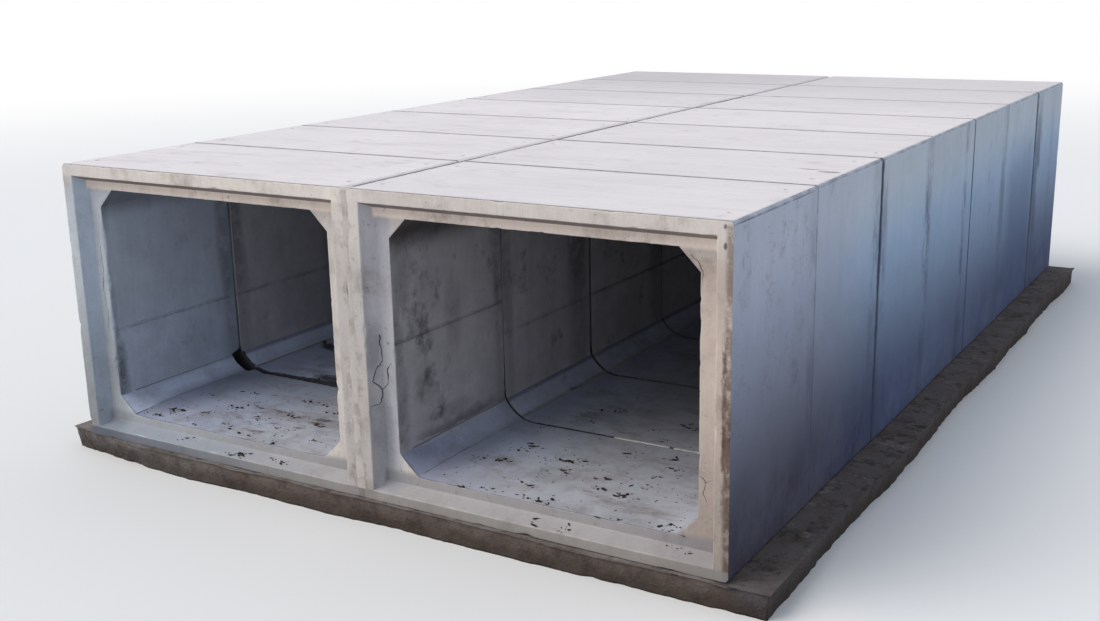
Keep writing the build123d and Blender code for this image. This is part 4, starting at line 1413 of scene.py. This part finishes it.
def lay_floor(scene):
    """Square floor that runs out into white; the part sees it darker than the camera does."""
    mesh = bpy.data.meshes.new("stage_floor")
    corners = [(-1, -1, 0), (1, -1, 0), (1, 1, 0), (-1, 1, 0)]
    mesh.from_pydata((FLOOR_REACH * np.array(corners)).tolist(), [], [(0, 1, 2, 3)])
    floor = bpy.data.objects.new("stage_floor", mesh)
    scene.collection.objects.link(floor)
    f = Finish("stage_floor_finish")
    pale = scene.culvert_finish.stage
    seen = f.node("ShaderNodeLightPath", output="Is Camera Ray")
    paint = f.mix(pale * 0.45, pale, seen)
    surface = f.node("ShaderNodeBsdfPrincipled", inputs={"Base Color": paint, "Roughness": 0.9})
    glow = f.node("ShaderNodeEmission", inputs={"Color": (1.0, 1.0, 1.0), "Strength": 1.0})
    away = ((f.x * f.x + f.y * f.y) ** 0.5).ramp(14.0, 40.0)
    both = f.node("ShaderNodeMixShader", inputs={0: away * seen, 1: surface, 2: glow})
    f.node("ShaderNodeOutputMaterial", inputs={"Surface": both})
    mesh.materials.append(f.material)


def light_scene(scene):
    """Cool soft sky that looks white where it is seen or mirrored, and three wide soft lights."""
    world = bpy.data.worlds.new("stage_world")
    scene.world = world
    w = Nodes(world)
    camera, glossy, clear = (
        w.node("ShaderNodeLightPath", output=f"Is {ray} Ray")
        for ray in ("Camera", "Glossy", "Transmission")
    )
    sky = {"Color": SKY_COLOUR, "Strength": SKY_STRENGTH}
    soft = w.node("ShaderNodeBackground", inputs=sky)
    white = w.node("ShaderNodeBackground", inputs={"Color": (1.0, 1.0, 1.0)})
    seen = camera.most(glossy).most(clear)
    mixed = w.node("ShaderNodeMixShader", inputs={0: seen, 1: soft, 2: white})
    w.node("ShaderNodeOutputWorld", inputs={"Surface": mixed})
    for name, strength, spread, tint, towards in LIGHTS:
        lamp = bpy.data.lights.new(name, "SUN")
        lamp.energy = strength
        lamp.angle = math.radians(spread)
        lamp.color = tint
        holder = bpy.data.objects.new(name, lamp)
        holder.rotation_mode = "QUATERNION"
        holder.rotation_quaternion = Vector(towards).to_track_quat("-Z", "Y")
        holder.location = -LIGHT_DISTANCE * Vector(towards)
        scene.collection.objects.link(holder)


def set_camera(scene):
    """Camera at the photograph's viewpoint."""
    level = math.cos(PITCH)
    ahead = Vector((-math.sin(YAW) * level, math.cos(YAW) * level, math.sin(PITCH)))
    right = Vector((math.cos(YAW), math.sin(YAW), 0.0))
    up = right.cross(ahead)
    rolled_right = right * math.cos(ROLL) + up * math.sin(ROLL)
    rolled_up = up * math.cos(ROLL) - right * math.sin(ROLL)
    lens = bpy.data.cameras.new("photo_camera")
    lens.sensor_width = SENSOR
    lens.lens = SENSOR * FOCAL_PIXELS / PHOTO_PIXELS
    lens.clip_end = 400.0
    camera = bpy.data.objects.new("photo_camera", lens)
    turn = Matrix((rolled_right, rolled_up, -ahead)).transposed()
    camera.matrix_world = Matrix.Translation(CAMERA_PLACE) @ turn.to_4x4()
    scene.collection.objects.link(camera)
    scene.camera = camera
    scene.view_settings.view_transform = "Standard"


# Steps


class CulvertStep(bpy.types.Operator):
    bl_options = {"REGISTER", "UNDO"}


class CULVERT_OT_units(CulvertStep):
    """Skin the fourteen units with cast faces, worn edges, form lines and lifting pockets"""

    bl_idname = "culvert.units"
    bl_label = "Units"

    def execute(self, context):
        scene = context.scene
        finishes = [finish_of(scene, name) for name in UNIT_FINISHES]
        for row in ROWS:
            for number in UNITS:
                skin, region = UnitSkin(scene.culvert_sizes, row, number).skin()
                node = f"unit_{row}_{number}"
                add_piece(node + "_cast", skin, finishes, region, (node,))
        return {"FINISHED"}


class CULVERT_OT_bed(CulvertStep):
    """Pour the bed with its ragged sides"""

    bl_idname = "culvert.bed"
    bl_label = "Bed"

    def execute(self, context):
        skin = bed_skin(context.scene.culvert_sizes)
        finishes = [finish_of(context.scene, "bed")]
        add_piece("bed_cast", skin, finishes, None, ("concrete_bed",))
        return {"FINISHED"}


class CULVERT_OT_joints(CulvertStep):
    """Grout the gap between the rows, point the floor joints and finish the sealing strips"""

    bl_idname = "culvert.joints"
    bl_label = "Joints"

    def execute(self, context):
        s = context.scene.culvert_sizes
        mortar = [finish_of(context.scene, "mortar")]
        add_piece("row_grout_cast", grout_skin(s), mortar, None, ("row_grout",))
        for row in ROWS:
            node = f"joint_mortar_{row}"
            add_piece(node + "_pointed", mortar_skin(s, row), mortar, None, (node,))
            for number in UNITS[:-1]:
                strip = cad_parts[f"joint_seal_{row}_{number}"]
                strip.data.materials.clear()
                strip.data.materials.append(finish_of(context.scene, "seal"))
        return {"FINISHED"}


class CULVERT_OT_pins(CulvertStep):
    """Turn the lifting pins in the roof pockets"""

    bl_idname = "culvert.pins"
    bl_label = "Lifting pins"

    def execute(self, context):
        finishes = [finish_of(context.scene, "rust")]
        for row in ROWS:
            skin = pin_skin(context.scene.culvert_sizes, row)
            node = f"lifting_anchors_{row}"
            add_piece(node + "_turned", skin, finishes, None, (node,))
        return {"FINISHED"}


class CULVERT_OT_wear(CulvertStep):
    """Scatter dry crumbs on the floors and draw the cracks on the front shoulders"""

    bl_idname = "culvert.wear"
    bl_label = "Crumbs and cracks"

    def execute(self, context):
        s = context.scene.culvert_sizes
        for row in ROWS:
            finishes = [finish_of(context.scene, "litter")]
            add_piece(f"floor_crumbs_{row}", crumb_skin(s, row), finishes)
        add_piece("shoulder_cracks", crack_skin(s), [finish_of(context.scene, "crack")])
        return {"FINISHED"}


class CULVERT_OT_stage(CulvertStep):
    """Lay the pale floor and set up the soft light and the camera"""

    bl_idname = "culvert.stage"
    bl_label = "Stage"

    def execute(self, context):
        lay_floor(context.scene)
        light_scene(context.scene)
        set_camera(context.scene)
        return {"FINISHED"}


STEPS = (
    CULVERT_OT_units,
    CULVERT_OT_bed,
    CULVERT_OT_joints,
    CULVERT_OT_pins,
    CULVERT_OT_wear,
    CULVERT_OT_stage,
)


class CULVERT_PT_panel(bpy.types.Panel):
    """Sizes, colours and steps of the culvert"""

    bl_label = "Box culvert"
    bl_idname = "CULVERT_PT_panel"
    bl_space_type = "VIEW_3D"
    bl_region_type = "UI"
    bl_category = "Culvert"

    def draw(self, context):
        for step in STEPS:
            self.layout.operator(step.bl_idname)
        for group in (context.scene.culvert_sizes, context.scene.culvert_finish):
            column = self.layout.column()
            for name in group.__annotations__:
                column.prop(group, name)


CLASSES = (CulvertSizes, CulvertFinish, *STEPS, CULVERT_PT_panel)


def register():
    for item in CLASSES:
        bpy.utils.register_class(item)
    bpy.types.Scene.culvert_sizes = PointerProperty(type=CulvertSizes)
    bpy.types.Scene.culvert_finish = PointerProperty(type=CulvertFinish)


def unregister():
    del bpy.types.Scene.culvert_finish
    del bpy.types.Scene.culvert_sizes
    for item in reversed(CLASSES):
        bpy.utils.unregister_class(item)


def main():
    register()
    for step in STEPS:
        group, name = step.bl_idname.split(".")
        getattr(getattr(bpy.ops, group), name)()


if __name__ == "__main__":
    main()
